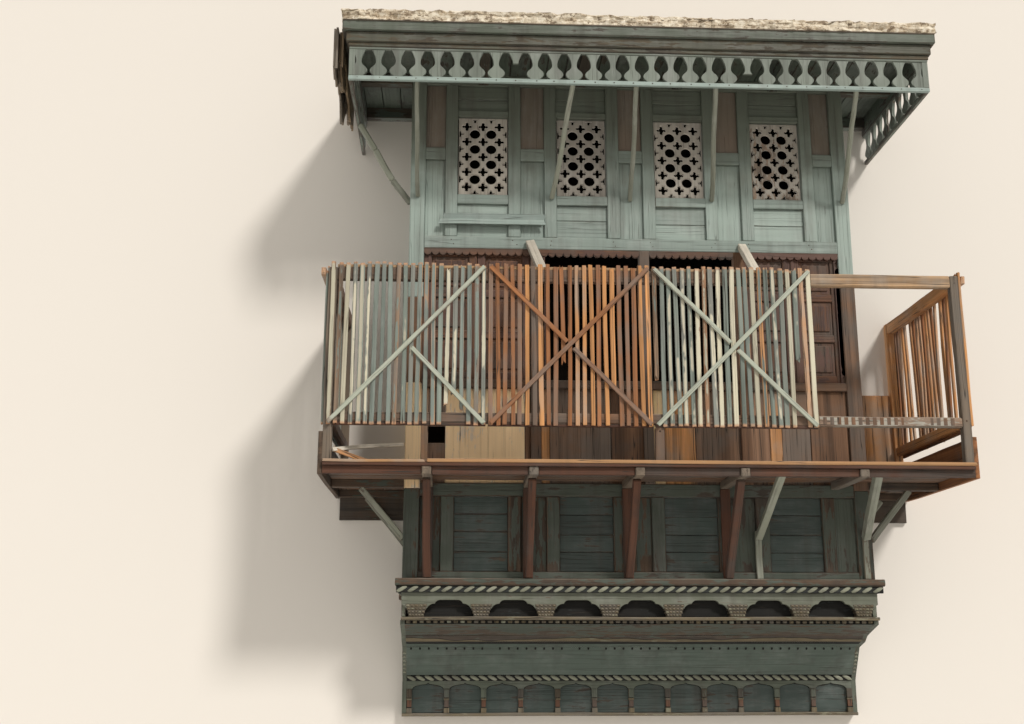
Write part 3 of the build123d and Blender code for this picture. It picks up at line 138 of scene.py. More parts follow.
class Shader:
    """The nodes of one material, or of the world, and short ways to add them."""

    def __init__(self, name, owner=None):
        self.material = owner or bpy.data.materials.new(name)
        self.material.use_nodes = True
        self.tree = self.material.node_tree
        self.tree.nodes.clear()

    def add(self, kind, settings, sockets, output=0):
        """A node of that kind: its settings first, then its sockets, by name or by number."""
        node = self.tree.nodes.new(kind)
        for name, value in settings.items():
            setattr(node, name, value)
        for key, value in sockets.items():
            if isinstance(value, Varying):
                self.tree.links.new(value.socket, node.inputs[key])
            else:
                node.inputs[key].default_value = value
        return Varying(self, node.outputs[output]) if node.outputs else None

    def attribute(self, name):
        return self.add("ShaderNodeAttribute", {"attribute_name": name}, {}, "Vector")

    def parts(self, vector):
        node = self.add("ShaderNodeSeparateXYZ", {}, {0: vector}).socket.node
        return [Varying(self, socket) for socket in node.outputs]

    def scaled(self, vector, factors):
        return self.add("ShaderNodeVectorMath", {"operation": "MULTIPLY"}, {0: vector, 1: factors})

    def noise(self, vector, scale, detail=2.0, roughness=0.5):
        sockets = {"Vector": vector, "Scale": scale, "Detail": detail, "Roughness": roughness}
        return self.add("ShaderNodeTexNoise", {}, sockets)

    def mix(self, share, first, second):
        """A colour between two others."""
        ends = [c if isinstance(c, Varying) else (*c, 1.0) for c in (first, second)]
        return self.add("ShaderNodeMix", {"data_type": "RGBA"}, {0: share, 6: ends[0], 7: ends[1]}, 2)

    def surface(self, color, roughness, height=None, depth=0.001, **constants):
        """The closing shader, with a bump whose full height is depth in metres."""
        sockets = {"Base Color": color, "Roughness": roughness}
        sockets.update({name.replace("_", " "): value for name, value in constants.items()})
        if height is not None:
            bump = self.add("ShaderNodeBump", {}, {"Strength": 1.0, "Distance": depth, "Height": height})
            sockets["Normal"] = bump
        shader = self.add("ShaderNodeBsdfPrincipled", {}, sockets)
        self.add("ShaderNodeOutputMaterial", {}, {0: shader})
        return self.material


print("shader helpers ready")

# %% [markdown]
# ## Stage and light
# The oriel hangs on a house, so a plain pale wall stands just behind it and a pale floor lies below.
# The wall is only there for the camera, and only from the front: from behind it is clear, so the
# back of the piece can be looked at. Inside the windows it is dark, as in a room without a lamp, and
# a dark sheet behind the opening gives that. The light is soft: one broad lamp like a hazy sun from
# the upper right, and an even sky.

# %% Floor, wall and the dark room
STAGE_REACH = 14.0
FLOOR_DROP = 1.1
WALL_GAP = 0.004
ROOM_GAP = 0.002
PALE_FLOOR = (0.80, 0.78, 0.75)
FLOOR_ROUGHNESS = 0.9
PALE_WALL = (0.78, 0.74, 0.69)
ROOM_DARK = (0.006, 0.005, 0.004)


def stage_sheet(name, corners, material):
    """A flat sheet through four corners, anticlockwise as seen from its front."""
    mesh = bpy.data.meshes.new(name)
    mesh.from_pydata(corners, [], [(0, 1, 2, 3)])
    mesh.materials.append(material)
    sheet = bpy.data.objects.new(name, mesh)
    bpy.context.scene.collection.objects.link(sheet)


def upright(left, right, y, bottom, top):
    """Corners of an upright sheet that faces the street."""
    return [(left, y, bottom), (right, y, bottom), (right, y, top), (left, y, top)]


def front_only(name, color):
    """A matt colour that only the camera sees, and only from the front."""
    shader = Shader(name)
    ray = shader.add("ShaderNodeLightPath", {}, {}, "Is Camera Ray")
    behind = shader.add("ShaderNodeNewGeometry", {}, {}, "Backfacing")
    matt = shader.add("ShaderNodeBsdfDiffuse", {}, {"Color": (*color, 1.0)})
    clear = shader.add("ShaderNodeBsdfTransparent", {}, {})
    mixed = shader.add("ShaderNodeMixShader", {}, {0: ray * (1 - behind), 1: clear, 2: matt})
    shader.add("ShaderNodeOutputMaterial", {}, {0: mixed})
    return shader.material


floor_paint = Shader("pale_floor").surface((*PALE_FLOOR, 1.0), FLOOR_ROUGHNESS)
floor_level = cad_low.z - FLOOR_DROP
stage_sheet("floor", [
    (-STAGE_REACH, -STAGE_REACH, floor_level), (STAGE_REACH, -STAGE_REACH, floor_level),
    (STAGE_REACH, STAGE_REACH, floor_level), (-STAGE_REACH, STAGE_REACH, floor_level),
], floor_paint)
wall_corners = upright(-STAGE_REACH, STAGE_REACH, WALL_GAP, floor_level, cad_high.z + STAGE_REACH)
stage_sheet("wall", wall_corners, front_only("pale_wall", PALE_WALL))
post_low, post_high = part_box("box_posts")
room_corners = upright(post_low.x, post_high.x, ROOM_GAP, post_low.z, post_high.z)
stage_sheet("dark_room", room_corners, front_only("dark_room", ROOM_DARK))
print("floor at", round(floor_level, 3))

# %% Hazy sun and sky
SUN_STRENGTH = 2.3
SUN_ANGLE = math.radians(9)
SUN_FROM = Vector((0.62, -1.0, 0.95))
SUN_COLOR = (1.0, 0.96, 0.90)
SKY_LIGHT = 0.62
SKY_COLOR = (1.0, 0.965, 0.90, 1.0)
SKY_SEEN = (0.86, 0.83, 0.79, 1.0)

sun_data = bpy.data.lights.new("hazy_sun", "SUN")
sun_data.energy = SUN_STRENGTH
sun_data.angle = SUN_ANGLE
sun_data.color = SUN_COLOR
sun = bpy.data.objects.new("hazy_sun", sun_data)
sun.rotation_mode = "QUATERNION"
sun.rotation_quaternion = SUN_FROM.to_track_quat("Z", "Y")
bpy.context.scene.collection.objects.link(sun)

world = bpy.data.worlds.new("studio")
bpy.context.scene.world = world
sky = Shader("studio", world)
lit = sky.add("ShaderNodeBackground", {}, {"Color": SKY_COLOR, "Strength": SKY_LIGHT})
seen = sky.add("ShaderNodeBackground", {}, {"Color": SKY_SEEN})
ray = sky.add("ShaderNodeLightPath", {}, {}, "Is Camera Ray")
mixed = sky.add("ShaderNodeMixShader", {}, {0: ray, 1: lit, 2: seen})
sky.add("ShaderNodeOutputWorld", {}, {0: mixed})
bpy.context.scene.view_settings.view_transform = "Standard"
print("sun", SUN_STRENGTH, "sky", SKY_LIGHT)

# %% [markdown]
# ## Old paint on old wood
# Every surface here is one idea in several colours: sawn timber, painted long ago, flaking and
# washed by rain. Each board carries three marks from its mesh. place is the point in the board's own
# axes, along, across and out; half is half its size on those axes; mark holds a random number, how
# worn the board is, and another random number. From them the shader knows where the grain runs,
# where the arrises are and which boards were swapped for bare ones, on every piece alike.

# %% The painted timber material
GRAIN_SPREAD = (31.0, 17.0, 23.0)
FIBRES = (4.0, 130.0, 130.0)
STREAKS = (0.8, 26.0, 26.0)
FLAKES = (9.0, 42.0, 42.0)
CRACKS = (0.55, 34.0, 34.0)
DUST = (0.46, 0.40, 0.32)
SOOT = (0.035, 0.028, 0.022)
# Painted shade under the canopy: the colour the paint darkens to, and the heights over which it comes in
CANOPY_SHADE = (0.112, 0.126, 0.094)
CANOPY_SHADE_LEVELS = (2.18, 2.86)
TIP_WOOD = (0.50, 0.27, 0.15)
RAIN_RUNS = (16.0, 16.0, 1.1)
ARRIS_WEAR = (0.0005, 0.006)
END_WEAR = 0.10
FLAKE_EDGE = 0.018
CRACK_WIDTH = 0.012
TIP_REACH = (0.006, 0.022)
TIMBER_BUMP = 0.0022


def aged_timber(name, paint, wood, cover, dirt=0.35, chalk=0.35, dust=0.5, canopy_shade=0.0, tips=0.0,
                flakes=FLAKES):
    """Timber with paint over cover of its surface, 0 for bare wood and 1 for sound paint.

    The canopy shade share is painted shade, darker upwards towards the canopy, and tips lets the bare end
    grain show.
    """
    s = Shader(name)
    place, half, mark = s.attribute("place"), s.attribute("half"), s.attribute("mark")
    first, wear, second = s.parts(mark)
    sockets = {0: mark, 1: GRAIN_SPREAD, 2: place}
    grain = s.add("ShaderNodeVectorMath", {"operation": "MULTIPLY_ADD"}, sockets)
    spot = s.add("ShaderNodeNewGeometry", {}, {}, "Position")
    fibre = s.noise(s.scaled(grain, FIBRES), 1.0, 3.0, 0.6)
    streak = s.noise(s.scaled(grain, STREAKS), 1.0, 3.0, 0.6)
    flake = s.noise(s.scaled(grain, flakes), 1.0, 4.0, 0.65)
    patch = s.noise(spot, 5.0, 3.0, 0.6)
    split = s.noise(s.scaled(grain, CRACKS), 1.0, 2.0, 0.5)

    reach = s.add("ShaderNodeVectorMath", {"operation": "ABSOLUTE"}, {0: place})
    inside = s.add("ShaderNodeVectorMath", {"operation": "SUBTRACT"}, {0: half, 1: reach})
    a, b, c = s.parts(inside)
    near = a.math("MINIMUM", b).math("MINIMUM", c)
    far = a.math("MAXIMUM", b).math("MAXIMUM", c)
    arris = a + b + c - near - far
    worn = 1 - (arris + (flake - 0.5) * 0.012).step(*ARRIS_WEAR)
    end = 1 - (a + (patch - 0.5) * END_WEAR).step(0.0, END_WEAR)

    flaking = flake * 0.50 + patch * 0.32 + streak * 0.18
    level = cover * 0.62 + 0.19 - wear * 0.62 + (first - 0.5) * 0.10
    paint_left = (level - flaking - worn * 0.12 - end * 0.05).step(-FLAKE_EDGE, FLAKE_EDGE)
    crack = 1 - abs(split - 0.5).step(0.0, CRACK_WIDTH)

    bright = tuple(min(1.0, v * 1.55) for v in wood)
    deep = tuple(v * 0.42 for v in wood)
    timber = s.mix(streak.step(0.25, 0.75), deep, bright)
    timber = s.mix((fibre * 0.6 + first * 0.4).step(0.3, 0.75), timber, wood)
    grey = tuple(sum(wood) / 3 * f for f in (1.30, 1.22, 1.10))
    timber = s.mix((patch + second * 0.4).step(0.55, 1.0) * 0.65, timber, grey)

    pale = tuple(v * 0.55 + 0.30 for v in paint)
    shaded = tuple(v * 0.68 for v in paint)
    coat = s.mix((streak * 0.5 + second * 0.5).step(0.2, 0.8), shaded, paint)
    coat = s.mix((patch * 0.6 + flake * 0.4).step(0.42, 0.75) * chalk, coat, pale)
    color = s.mix(paint_left, timber, coat)
    # Painted shade: the colour darkens upwards towards the canopy, as in the canopy's shadow
    if canopy_shade:
        rise = (s.parts(spot)[2] + (patch - 0.5) * 0.5).step(*CANOPY_SHADE_LEVELS)
        color = s.mix(rise * canopy_shade, color, CANOPY_SHADE)
    if tips:
        tip = 1 - (a + (flake - 0.5) * 0.02).step(*TIP_REACH)
        color = s.mix(tip * tips, color, TIP_WOOD)

    run = s.noise(s.scaled(spot, RAIN_RUNS), 1.0, 3.0, 0.6)
    stain = (run * 0.65 + patch * 0.35).step(0.45, 0.72) * dirt
    color = s.mix(stain, color, s.mix(0.5, tuple(v * 0.5 for v in wood), SOOT))
    color = s.mix(crack * (1 - paint_left * 0.6), color, SOOT)
    up = s.parts(s.add("ShaderNodeNewGeometry", {}, {}, "Normal"))[2]
    color = s.mix(up.step(0.5, 0.95) * (patch * 1.2).step(0.3, 0.8) * dust, color, DUST)

    rough = 0.86 - paint_left * 0.22 + (fibre - 0.5) * 0.12
    height = fibre * 0.30 + streak * 0.12 + paint_left * 0.30 - crack * 0.55 + (1 - worn) * 0.12
    return s.surface(color, rough, height, depth=TIMBER_BUMP)


# Turquoise and the rose panels get painted canopy shade towards their top
TURQUOISE = aged_timber("faded_turquoise", (0.325, 0.400, 0.362), (0.16, 0.125, 0.090),
                        0.90, dirt=0.35, canopy_shade=0.92)
PALE_BLUE = aged_timber("pale_blue", (0.300, 0.375, 0.345), (0.17, 0.14, 0.10), 0.94, dirt=0.30)
ROSE_PANEL = aged_timber("rose_panel", (0.215, 0.142, 0.105), (0.13, 0.070, 0.050),
                         0.80, dirt=0.40, canopy_shade=0.45)
SOFFIT_GREEN = aged_timber("soffit_green", (0.080, 0.104, 0.080), (0.055, 0.044, 0.031), 0.66, dirt=0.6)
FASCIA_GREEN = aged_timber("fascia_green", (0.098, 0.116, 0.088), (0.085, 0.068, 0.046), 0.66, dirt=0.45)
FASCIA_BROWN = aged_timber("fascia_brown", (0.096, 0.098, 0.068), (0.078, 0.063, 0.041), 0.62, dirt=0.50)
VALANCE_GREEN = aged_timber("valance_green", (0.185, 0.215, 0.180), (0.12, 0.100, 0.075), 0.93, dirt=0.45)
# Dark teal and the teal panel are darker than their paint: dirt, and painted shade on the lower storey and
# base
DARK_TEAL = aged_timber("dark_teal", (0.072, 0.088, 0.068), (0.078, 0.050, 0.032),
                        0.62, dirt=0.5, chalk=0.18)
TEAL_PANEL = aged_timber("teal_panel", (0.046, 0.067, 0.060), (0.066, 0.052, 0.038),
                         0.74, dirt=0.5, chalk=0.22)
COVE_GREEN = aged_timber("cove_green", (0.098, 0.132, 0.110), (0.080, 0.066, 0.048),
                         0.90, dirt=0.40, chalk=0.2)
SLAT_RUSTY = aged_timber("rusty_slats", (0.198, 0.236, 0.208), (0.470, 0.240, 0.105), 0.64, dirt=0.25,
                         tips=0.6, flakes=(2.0, 6.0, 6.0))
ARCH_GREEN = aged_timber("arch_green", (0.104, 0.122, 0.090), (0.082, 0.064, 0.044),
                         0.82, dirt=0.35, chalk=0.25)
FRIEZE_GREEN = aged_timber("frieze_green", (0.170, 0.185, 0.135), (0.120, 0.092, 0.065),
                           0.82, dirt=0.40, chalk=0.3)
STRAND_PALE = aged_timber("strand_pale", (0.265, 0.275, 0.205), (0.150, 0.125, 0.088), 0.88, dirt=0.30)
NAIL_RUST = aged_timber("nail_rust", (0.050, 0.032, 0.022), (0.075, 0.036, 0.018), 0.5, dirt=0.3, dust=0.1)
TORN_BROWN = aged_timber("torn_brown", (0.300, 0.255, 0.175), (0.230, 0.165, 0.100), 0.55, dirt=0.25)
CARVED_PALE = aged_timber("carved_pale", (0.250, 0.240, 0.165), (0.140, 0.112, 0.068), 0.66, dirt=0.40)
# Near black: painted shade in the niches, in cuts, grooves and gaps, and along shadow lines
PAINTED_SHADE = aged_timber("painted_shade", (0.006, 0.010, 0.009), (0.006, 0.006, 0.005),
                         0.5, dirt=0.2, chalk=0.02, dust=0.02)
SLAT_CREAM = aged_timber("cream_slats", (0.600, 0.560, 0.420), (0.27, 0.150, 0.085),
                         0.84, dirt=0.25, tips=0.8)
SLAT_BLUE = aged_timber("blue_grey_slats", (0.198, 0.236, 0.208), (0.23, 0.150, 0.095),
                        0.84, dirt=0.30, tips=0.8)
# Cream and blue-grey in long hard patches along each slat: partly two-tone paint, partly painted sunlight and
# shadow
SLAT_PAINT_AND_SHADOW = aged_timber("two_tone_and_shadow_slats", (0.600, 0.560, 0.430), (0.180, 0.212, 0.185), 0.54, dirt=0.25,
                            tips=0.8, flakes=(2.4, 6.0, 6.0))
LATH_WHITE = aged_timber("lath_white", (0.400, 0.430, 0.350), (0.27, 0.19, 0.12), 0.86, dirt=0.25)
STAY_CREAM = aged_timber("stay_cream", (0.720, 0.660, 0.560), (0.40, 0.26, 0.16), 0.90, dirt=0.20)
BARE_BROWN = aged_timber("bare_brown", (0.165, 0.120, 0.085), (0.158, 0.084, 0.047), 0.10, dirt=0.40)
BRACKET_RED = aged_timber("bracket_red", (0.090, 0.060, 0.042), (0.092, 0.038, 0.021), 0.20, dirt=0.40)
STRUT_GREY = aged_timber("strut_grey", (0.300, 0.315, 0.250), (0.170, 0.135, 0.095), 0.92, dirt=0.30)
GREY_TIMBER = aged_timber("grey_timber", (0.290, 0.270, 0.215), (0.165, 0.125, 0.090), 0.36, dirt=0.35)
ORANGE_WOOD = aged_timber("orange_wood", (0.60, 0.44, 0.27), (0.530, 0.255, 0.098), 0.14, dirt=0.25)
SLAT_BROWN = aged_timber("slat_brown", (0.42, 0.30, 0.17), (0.270, 0.112, 0.043), 0.10, dirt=0.30)
RAIL_WOOD = aged_timber("rail_wood", (0.620, 0.500, 0.370), (0.430, 0.270, 0.145), 0.50, dirt=0.35)
PRINTED_RAIL = aged_timber("printed_rail", (0.400, 0.370, 0.310), (0.260, 0.170, 0.115), 0.70, dirt=0.40)
# The nosing's top edge, paler than its wood: painted sunlight
SUNLIT_NOSING_LIP = aged_timber("sunlit_nosing_lip", (0.54, 0.40, 0.245), (0.390, 0.215, 0.100), 0.40, dirt=0.25)
# Raw board, paler than raw wood is: painted sunlight on it
SUNLIT_RAW_BOARD = aged_timber("sunlit_raw_board", (1.0, 0.73, 0.43), (0.92, 0.58, 0.29),
                        0.66, dirt=0.05, chalk=0.1, dust=0.05)
PARAPET_BROWN = aged_timber("parapet_brown", (0.280, 0.180, 0.120), (0.205, 0.118, 0.072), 0.40, dirt=0.35)
SHUTTER_BROWN = aged_timber("shutter_brown", (0.100, 0.044, 0.029), (0.130, 0.062, 0.036),
                            0.62, dirt=0.35, chalk=0.08)
FRET_BONE = aged_timber("fret_bone", (0.46, 0.42, 0.36), (0.24, 0.17, 0.12), 0.74, dirt=0.45)
print("timber materials:", len(bpy.data.materials))

# %% [markdown]
# ## Boards as they come from a yard
# A board could be a scaled cube, but nothing gives a cube away like its straight edges. Here each
# board is a chamfered section drawn along a line in several steps, with a slight bow, uneven arrises
# and, where it is broken, a ragged end. Hundreds of boards go into one mesh, so we collect their
# corners in arrays and make the mesh once. Each board draws its random numbers from its piece's own
# seed, so the piece looks the same every time.

# %% Boards gathered into one piece
# A sawn shape has no long arrises, so its half size is set far beyond its edges
FAR = (9.0, 9.0, 9.0)
# Corners of a section: signs across and out, and which way the chamfer moves each
SECTION_CORNERS = np.array([
    (1, -1, 0, 1), (1, 1, 0, -1), (1, 1, -1, 0), (-1, 1, 1, 0),
    (-1, 1, 0, -1), (-1, -1, 0, 1), (-1, -1, 1, 0), (1, -1, -1, 0),
], float)


def unit(vector):
    return vector / np.linalg.norm(vector)


def tube(rings, count):
    """Faces between rings of count points that follow one another, ring after ring."""
    faces = []
    for a in range(0, (rings - 1) * count, count):
        for i in range(count):
            j = (i + 1) % count
            faces.append([a + j, a + i, a + count + i, a + count + j])
    return faces


def add_marks(mesh, place, half, mark):
    """The three vectors at each point that the timber shader reads."""
    for name, values in (("place", place), ("half", half), ("mark", mark)):
        layer = mesh.attributes.new(name, "FLOAT_VECTOR", "POINT")
        layer.data.foreach_set("vector", np.asarray(values, np.float32).ravel())


def finish_piece(name, mesh, materials, replaces=()):
    """Put a mesh in the scene as a piece of the oriel."""
    for material in materials:
        mesh.materials.append(material)
    piece = bpy.data.objects.new(name, mesh)
    bpy.context.scene.collection.objects.link(piece)
    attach(piece, BODY)
    if replaces:
        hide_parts(*replaces)
    return piece


class Boards:
    """Boards that end up in one mesh. Each keeps its own axes, size, wear and random numbers."""

    def __init__(self, seed):
        self.random = np.random.default_rng(seed)
        self.points, self.faces, self.material = [], [], []
        self.place, self.half, self.mark = [], [], []
        self.total = 0

    def add(self, points, faces, place, half, wear=0.0, material=0):
        """Any closed shape, given as points with their places in its own axes."""
        self.points.append(points)
        self.faces += [[i + self.total for i in face] for face in faces]
        self.material += [material] * len(faces)
        self.place.append(place)
        self.half.append(np.tile(half, (len(points), 1)))
        self.mark.append(np.tile((self.random.random(), wear, self.random.random()), (len(points), 1)))
        self.total += len(points)

    def stick(self, start, end, width, thickness, face=(0, -1, 0), wear=0.0, bow=0.0012,
              chamfer=0.0025, ragged=0.0, step=0.22, material=0):
        """A board between the middles of its two ends, its broad side looking along face."""
        start, end, face = (np.asarray(v, float) for v in (start, end, face))
        length = np.linalg.norm(end - start)
        along = (end - start) / length
        out = unit(face - along * (face @ along))
        across = np.cross(out, along)
        chamfer = min(chamfer, 0.3 * thickness, 0.3 * width)
        inner = np.linspace(chamfer, length - chamfer, max(2, int(math.ceil(length / step)) + 1))
        at = np.concatenate(([0.0], inner, [length])) - length / 2
        stations = len(at)
        at_tip = np.zeros((stations, 1))
        at_tip[[0, -1]] = 1.0
        phase = self.random.random(4) * 2 * math.pi
        wave = 2 * math.pi * (at / length + 0.5)
        sway = np.sin(wave * 0.5) * np.cos(phase[0]) + 0.35 * np.sin(wave * 1.5 + phase[1])
        lift = np.sin(wave * 0.5) * np.cos(phase[2]) + 0.35 * np.sin(wave * 1.3 + phase[3])
        softened = chamfer * self.random.uniform(0.5, 1.5, (stations, 8))
        side_b, side_c, move_b, move_c = SECTION_CORNERS.T
        b = side_b * width / 2 + move_b * softened
        c = side_c * thickness / 2 + move_c * softened
        b = np.sign(b) * (np.abs(b) - chamfer * 0.8 * at_tip)
        c = np.sign(c) * (np.abs(c) - chamfer * 0.8 * at_tip)
        t = np.repeat(at[:, None], 8, axis=1)
        if ragged:
            t[:2] += self.random.uniform(0, ragged, 8)
            t[-2:] -= self.random.uniform(0, ragged, 8)
        flat = np.stack([t, b, c], axis=-1).reshape(-1, 3)
        sag = np.repeat(bow * np.stack([sway, lift], axis=-1), 8, axis=0)
        middle = (start + end) / 2
        points = middle + flat[:, :1] * along + (flat[:, 1:2] + sag[:, :1]) * across
        points = points + (flat[:, 2:] + sag[:, 1:]) * out
        faces = [list(range(7, -1, -1)), [8 * (stations - 1) + i for i in range(8)]]
        faces += [face[::-1] for face in tube(stations, 8)]
        self.add(points, faces, flat, (length / 2, width / 2, thickness / 2), wear, material)

    def boxed(self, low, high, along=None, **looks):
        """A board that fills a box, its grain along the longest side unless told otherwise."""
        low, high = np.asarray(low, float), np.asarray(high, float)
        size = high - low
        along = int(np.argmax(size)) if along is None else along
        thin, wide = sorted((k for k in range(3) if k != along), key=lambda k: size[k])
        middle, reach = (low + high) / 2, np.eye(3)[along] * size[along] / 2
        self.stick(middle - reach, middle + reach, size[wide], size[thin], np.eye(3)[thin], **looks)

    def piece(self, name, materials, slot=None, replaces=()):
        mesh = bpy.data.meshes.new(name)
        points = np.clip(np.concatenate(self.points), cad_low, cad_high)
        mesh.from_pydata(points.tolist(), [], self.faces)
        mesh.polygons.foreach_set("material_index", self.material)
        add_marks(mesh, *(np.concatenate(v) for v in (self.place, self.half, self.mark)))
        print(name, "boards", len(self.points), "faces", len(self.faces))
        return finish_piece(name, mesh, materials, replaces)


# %% [markdown]
# ## Reading the solids
# A CAD node may hold many solids that don't touch, such as all the stiles. The frame gives one mesh
# per node, so we weld its corners and walk from edge to edge to find each solid again. The box of a
# solid is then all that a straight board needs.

# %% Find each solid of a node
WELD = 1e-5


def solids(node):
    """The corners of every solid in a CAD node, from the lowest and leftmost on."""
    cad = bmesh.new()
    cad.from_mesh(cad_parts[node].data)
    bmesh.ops.remove_doubles(cad, verts=cad.verts, dist=WELD)
    left, found = set(cad.verts), []
    while left:
        group, edge = set(), {left.pop()}
        while edge:
            group |= edge
            edge = {e.other_vert(v) for v in edge for e in v.link_edges} - group
        left -= group
        found.append(np.array(sorted(tuple(v.co) for v in group)))
    cad.free()
    return sorted(found, key=lambda corners: tuple(np.round(corners.mean(0)[[2, 0, 1]], 4)))


def boxes(node):
    """Lowest and highest corner of every solid in a CAD node."""
    return [(corners.min(0), corners.max(0)) for corners in solids(node)]


def planks(boards, low, high, along, count, gap=0.0015, depth=0.0, **looks):
    """Fill a box with count planks side by side, with open joints and uneven faces."""
    low, high = np.asarray(low, float), np.asarray(high, float)
    size = high - low
    thin = int(np.argmin(size))
    wide = 3 - along - thin
    shares = 1 + boards.random.uniform(-0.12, 0.12, count)
    cuts = low[wide] + size[wide] * np.concatenate(([0], np.cumsum(shares) / shares.sum()))
    for start, end in zip(cuts[:-1], cuts[1:]):
        shift = boards.random.uniform(-depth, depth)
        a, b = low.copy(), high.copy()
        a[wide], b[wide] = start + gap / 2, end - gap / 2
        a[thin] += shift
        b[thin] += shift
        boards.boxed(a, b, along=along, **looks)


def timbers(name, node, seed, slot, materials, pick=None, spread=(-0.1, 0.15), wear=0.2, **looks):
    """The straight timbers of a node, each with the material that pick chooses from its box."""
    boards = Boards(seed)
    for low, high in boxes(node):
        worn = wear + boards.random.uniform(*spread)
        boards.boxed(low, high, wear=worn, material=pick(low, high) if pick else 0, **looks)
    return boards.piece(name, materials, slot, [node])


print("box posts:", len(solids("box_posts")), "stiles:", len(solids("frame_stiles")))

# %% [markdown]
# ## The frame of the box
# Posts, rails and stiles are plain sawn timbers, so one board for each solid is enough. The upper
# part keeps its pale turquoise paint, and the lower part is painted darker and dirtier: dirt that the
# street splashes, and painted shade of the balcony over it. Stiles and rails sit a hair apart in depth,
# as hand-cut joints do.

# %% Posts, rails and stiles
LOWER_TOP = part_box("lower_panels")[1].z
MIDDLE_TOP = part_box("shutters")[1].z
RAIL_OVER_PANELS = 0.08
RAIL_LAP = 0.02
NARROW_BAYS_FROM = 2.60


def storey_material(low, high):
    """0 for the pale upper storey, 1 for the bare middle one and 2 for the dark lower one."""
    middle = (low[2] + high[2]) / 2
    if middle < LOWER_TOP + RAIL_OVER_PANELS:
        return 2
    return int(middle < MIDDLE_TOP - RAIL_LAP)


for name, node, seed, slot in (
    ("frame_rail_timbers", "frame_rails", 11, "faded_turquoise"),
    ("frame_stile_timbers", "frame_stiles", 12, "faded_turquoise"),
    ("short_rail_timbers", "short_rails", 13, "faded_turquoise"),
    ("middle_post_timbers", "middle_posts", 14, "bare_brown"),
):
    timbers(name, node, seed, slot, [TURQUOISE, BARE_BROWN, DARK_TEAL], storey_material,
            (-0.05, 0.12), wear=0.0, bow=0.001, chamfer=0.0035)

# %% Corner posts in several lengths
# The corner posts change colour on their way up, so each is made of lengths end to end. The left one
# is bare and yellow beside the parapet, in the raw board's colour with its painted sunlight, and the
# right one has lost its paint up to the lattice's top.
# Each length's top and its material; the last one runs on to the post's own top
LEFT_LENGTHS = ((0.56, 2), (1.18, 3), (1.70, 1), (9.0, 0))
RIGHT_LENGTHS = ((0.56, 2), (1.86, 1), (9.0, 0))
posts = Boards(15)
for low, high in boxes("box_posts"):
    foot = low[2]
    for head, kind in LEFT_LENGTHS if low[0] < 0 else RIGHT_LENGTHS:
        a, b = low.copy(), high.copy()
        a[2], b[2] = foot, min(head, high[2])
        posts.boxed(a, b, wear=0.25 if kind == 1 else 0.0, chamfer=0.004, material=kind)
        foot = b[2]
posts.piece("corner_posts", [TURQUOISE, BARE_BROWN, DARK_TEAL, SUNLIT_RAW_BOARD], "faded_turquoise", ["box_posts"])

# %% [markdown]
# ## Panels of loose planks
# The panels between the stiles aren't sheets. Wide bays have planks laid across, and narrow bays have
# upright ones, and by now every joint is open. The solid gives the panel, and planks fill it.

# %% Planks in the panels
PLANK_HEIGHT = 0.105
NARROW_BAY = 0.2
PANEL_LAP = 0.1


def panel_planks(name, node, materials, seed, slot, wear):
    """Planks across the wide panels, and one upright board of the second material in the narrow ones."""
    boards = Boards(seed)
    for low, high in boxes(node):
        size = high - low
        if max(size[:2]) > NARROW_BAY:
            count = max(1, round(size[2] / PLANK_HEIGHT))
            planks(boards, low, high, int(np.argmax(size[:2])), count, 0.003, 0.002, wear=wear)
        else:
            framed = low[2] > NARROW_BAYS_FROM or high[2] < LOWER_TOP + PANEL_LAP
            boards.boxed(low, high, along=2, wear=wear, bow=0.001, material=int(framed))
    return boards.piece(name, materials, slot, [node])


panel_planks("upper_panel_planks", "upper_panels", [TURQUOISE, ROSE_PANEL], 21, "faded_turquoise", 0.02)
panel_planks("lower_panel_planks", "lower_panels", [TEAL_PANEL, DARK_TEAL], 22, "dark_teal", 0.05)

# %% [markdown]
# ## Sticks and laths that lean
# Braces, stays and brackets run at a slant, so their boxes say little. The two ends are the two
# groups of corners at the far ends of the longest direction, which a singular value decomposition
# finds. The middles of the ends give the stick, and the corners' spread across it gives its section.

# %% A slanting stick from its corners
def slanting(boards, corners, face=(0, -1, 0), narrow=1.0, meet=None, **looks):
    """A board with the solid's own ends; meet is the place along X that its nearer end goes on to."""
    middle, face = corners.mean(0), np.asarray(face, float)
    longest = np.linalg.svd(corners - middle)[2][0]
    reach = (corners - middle) @ longest
    start, end = corners[reach < 0].mean(0), corners[reach > 0].mean(0)
    along = unit(end - start)
    out = unit(face - along * (face @ along))
    across = np.cross(out, along)
    width, thickness = np.ptp(corners @ across), np.ptp(corners @ out)
    if meet is not None and abs(start[0] - meet) < abs(end[0] - meet):
        start = end + (start - end) * (meet - end[0]) / (start[0] - end[0])
    elif meet is not None:
        end = start + (end - start) * (meet - start[0]) / (end[0] - start[0])
    boards.stick(start, end, width * narrow, thickness, face, **looks)


def slanting_piece(name, node, seed, slot, materials, pick=None, **looks):
    """The slanting sticks of a node, each with the material that pick chooses from its corners."""
    boards = Boards(seed)
    for corners in solids(node):
        slanting(boards, corners, material=pick(corners) if pick else 0, **looks)
    return boards.piece(name, materials, slot, [node])


# %% [markdown]
# ## Floor, beams and brackets of the balcony
# The balcony's floor is bare and brown underneath, on beams that stick out of the box. Its front
# edge is a newer nosing in two lengths, with a pale top edge of painted sunlight over a strip of
# painted shade. Brown brackets carry it, and somebody later added two pale green braces. The knees
# and outriggers at the sides kept their paint.

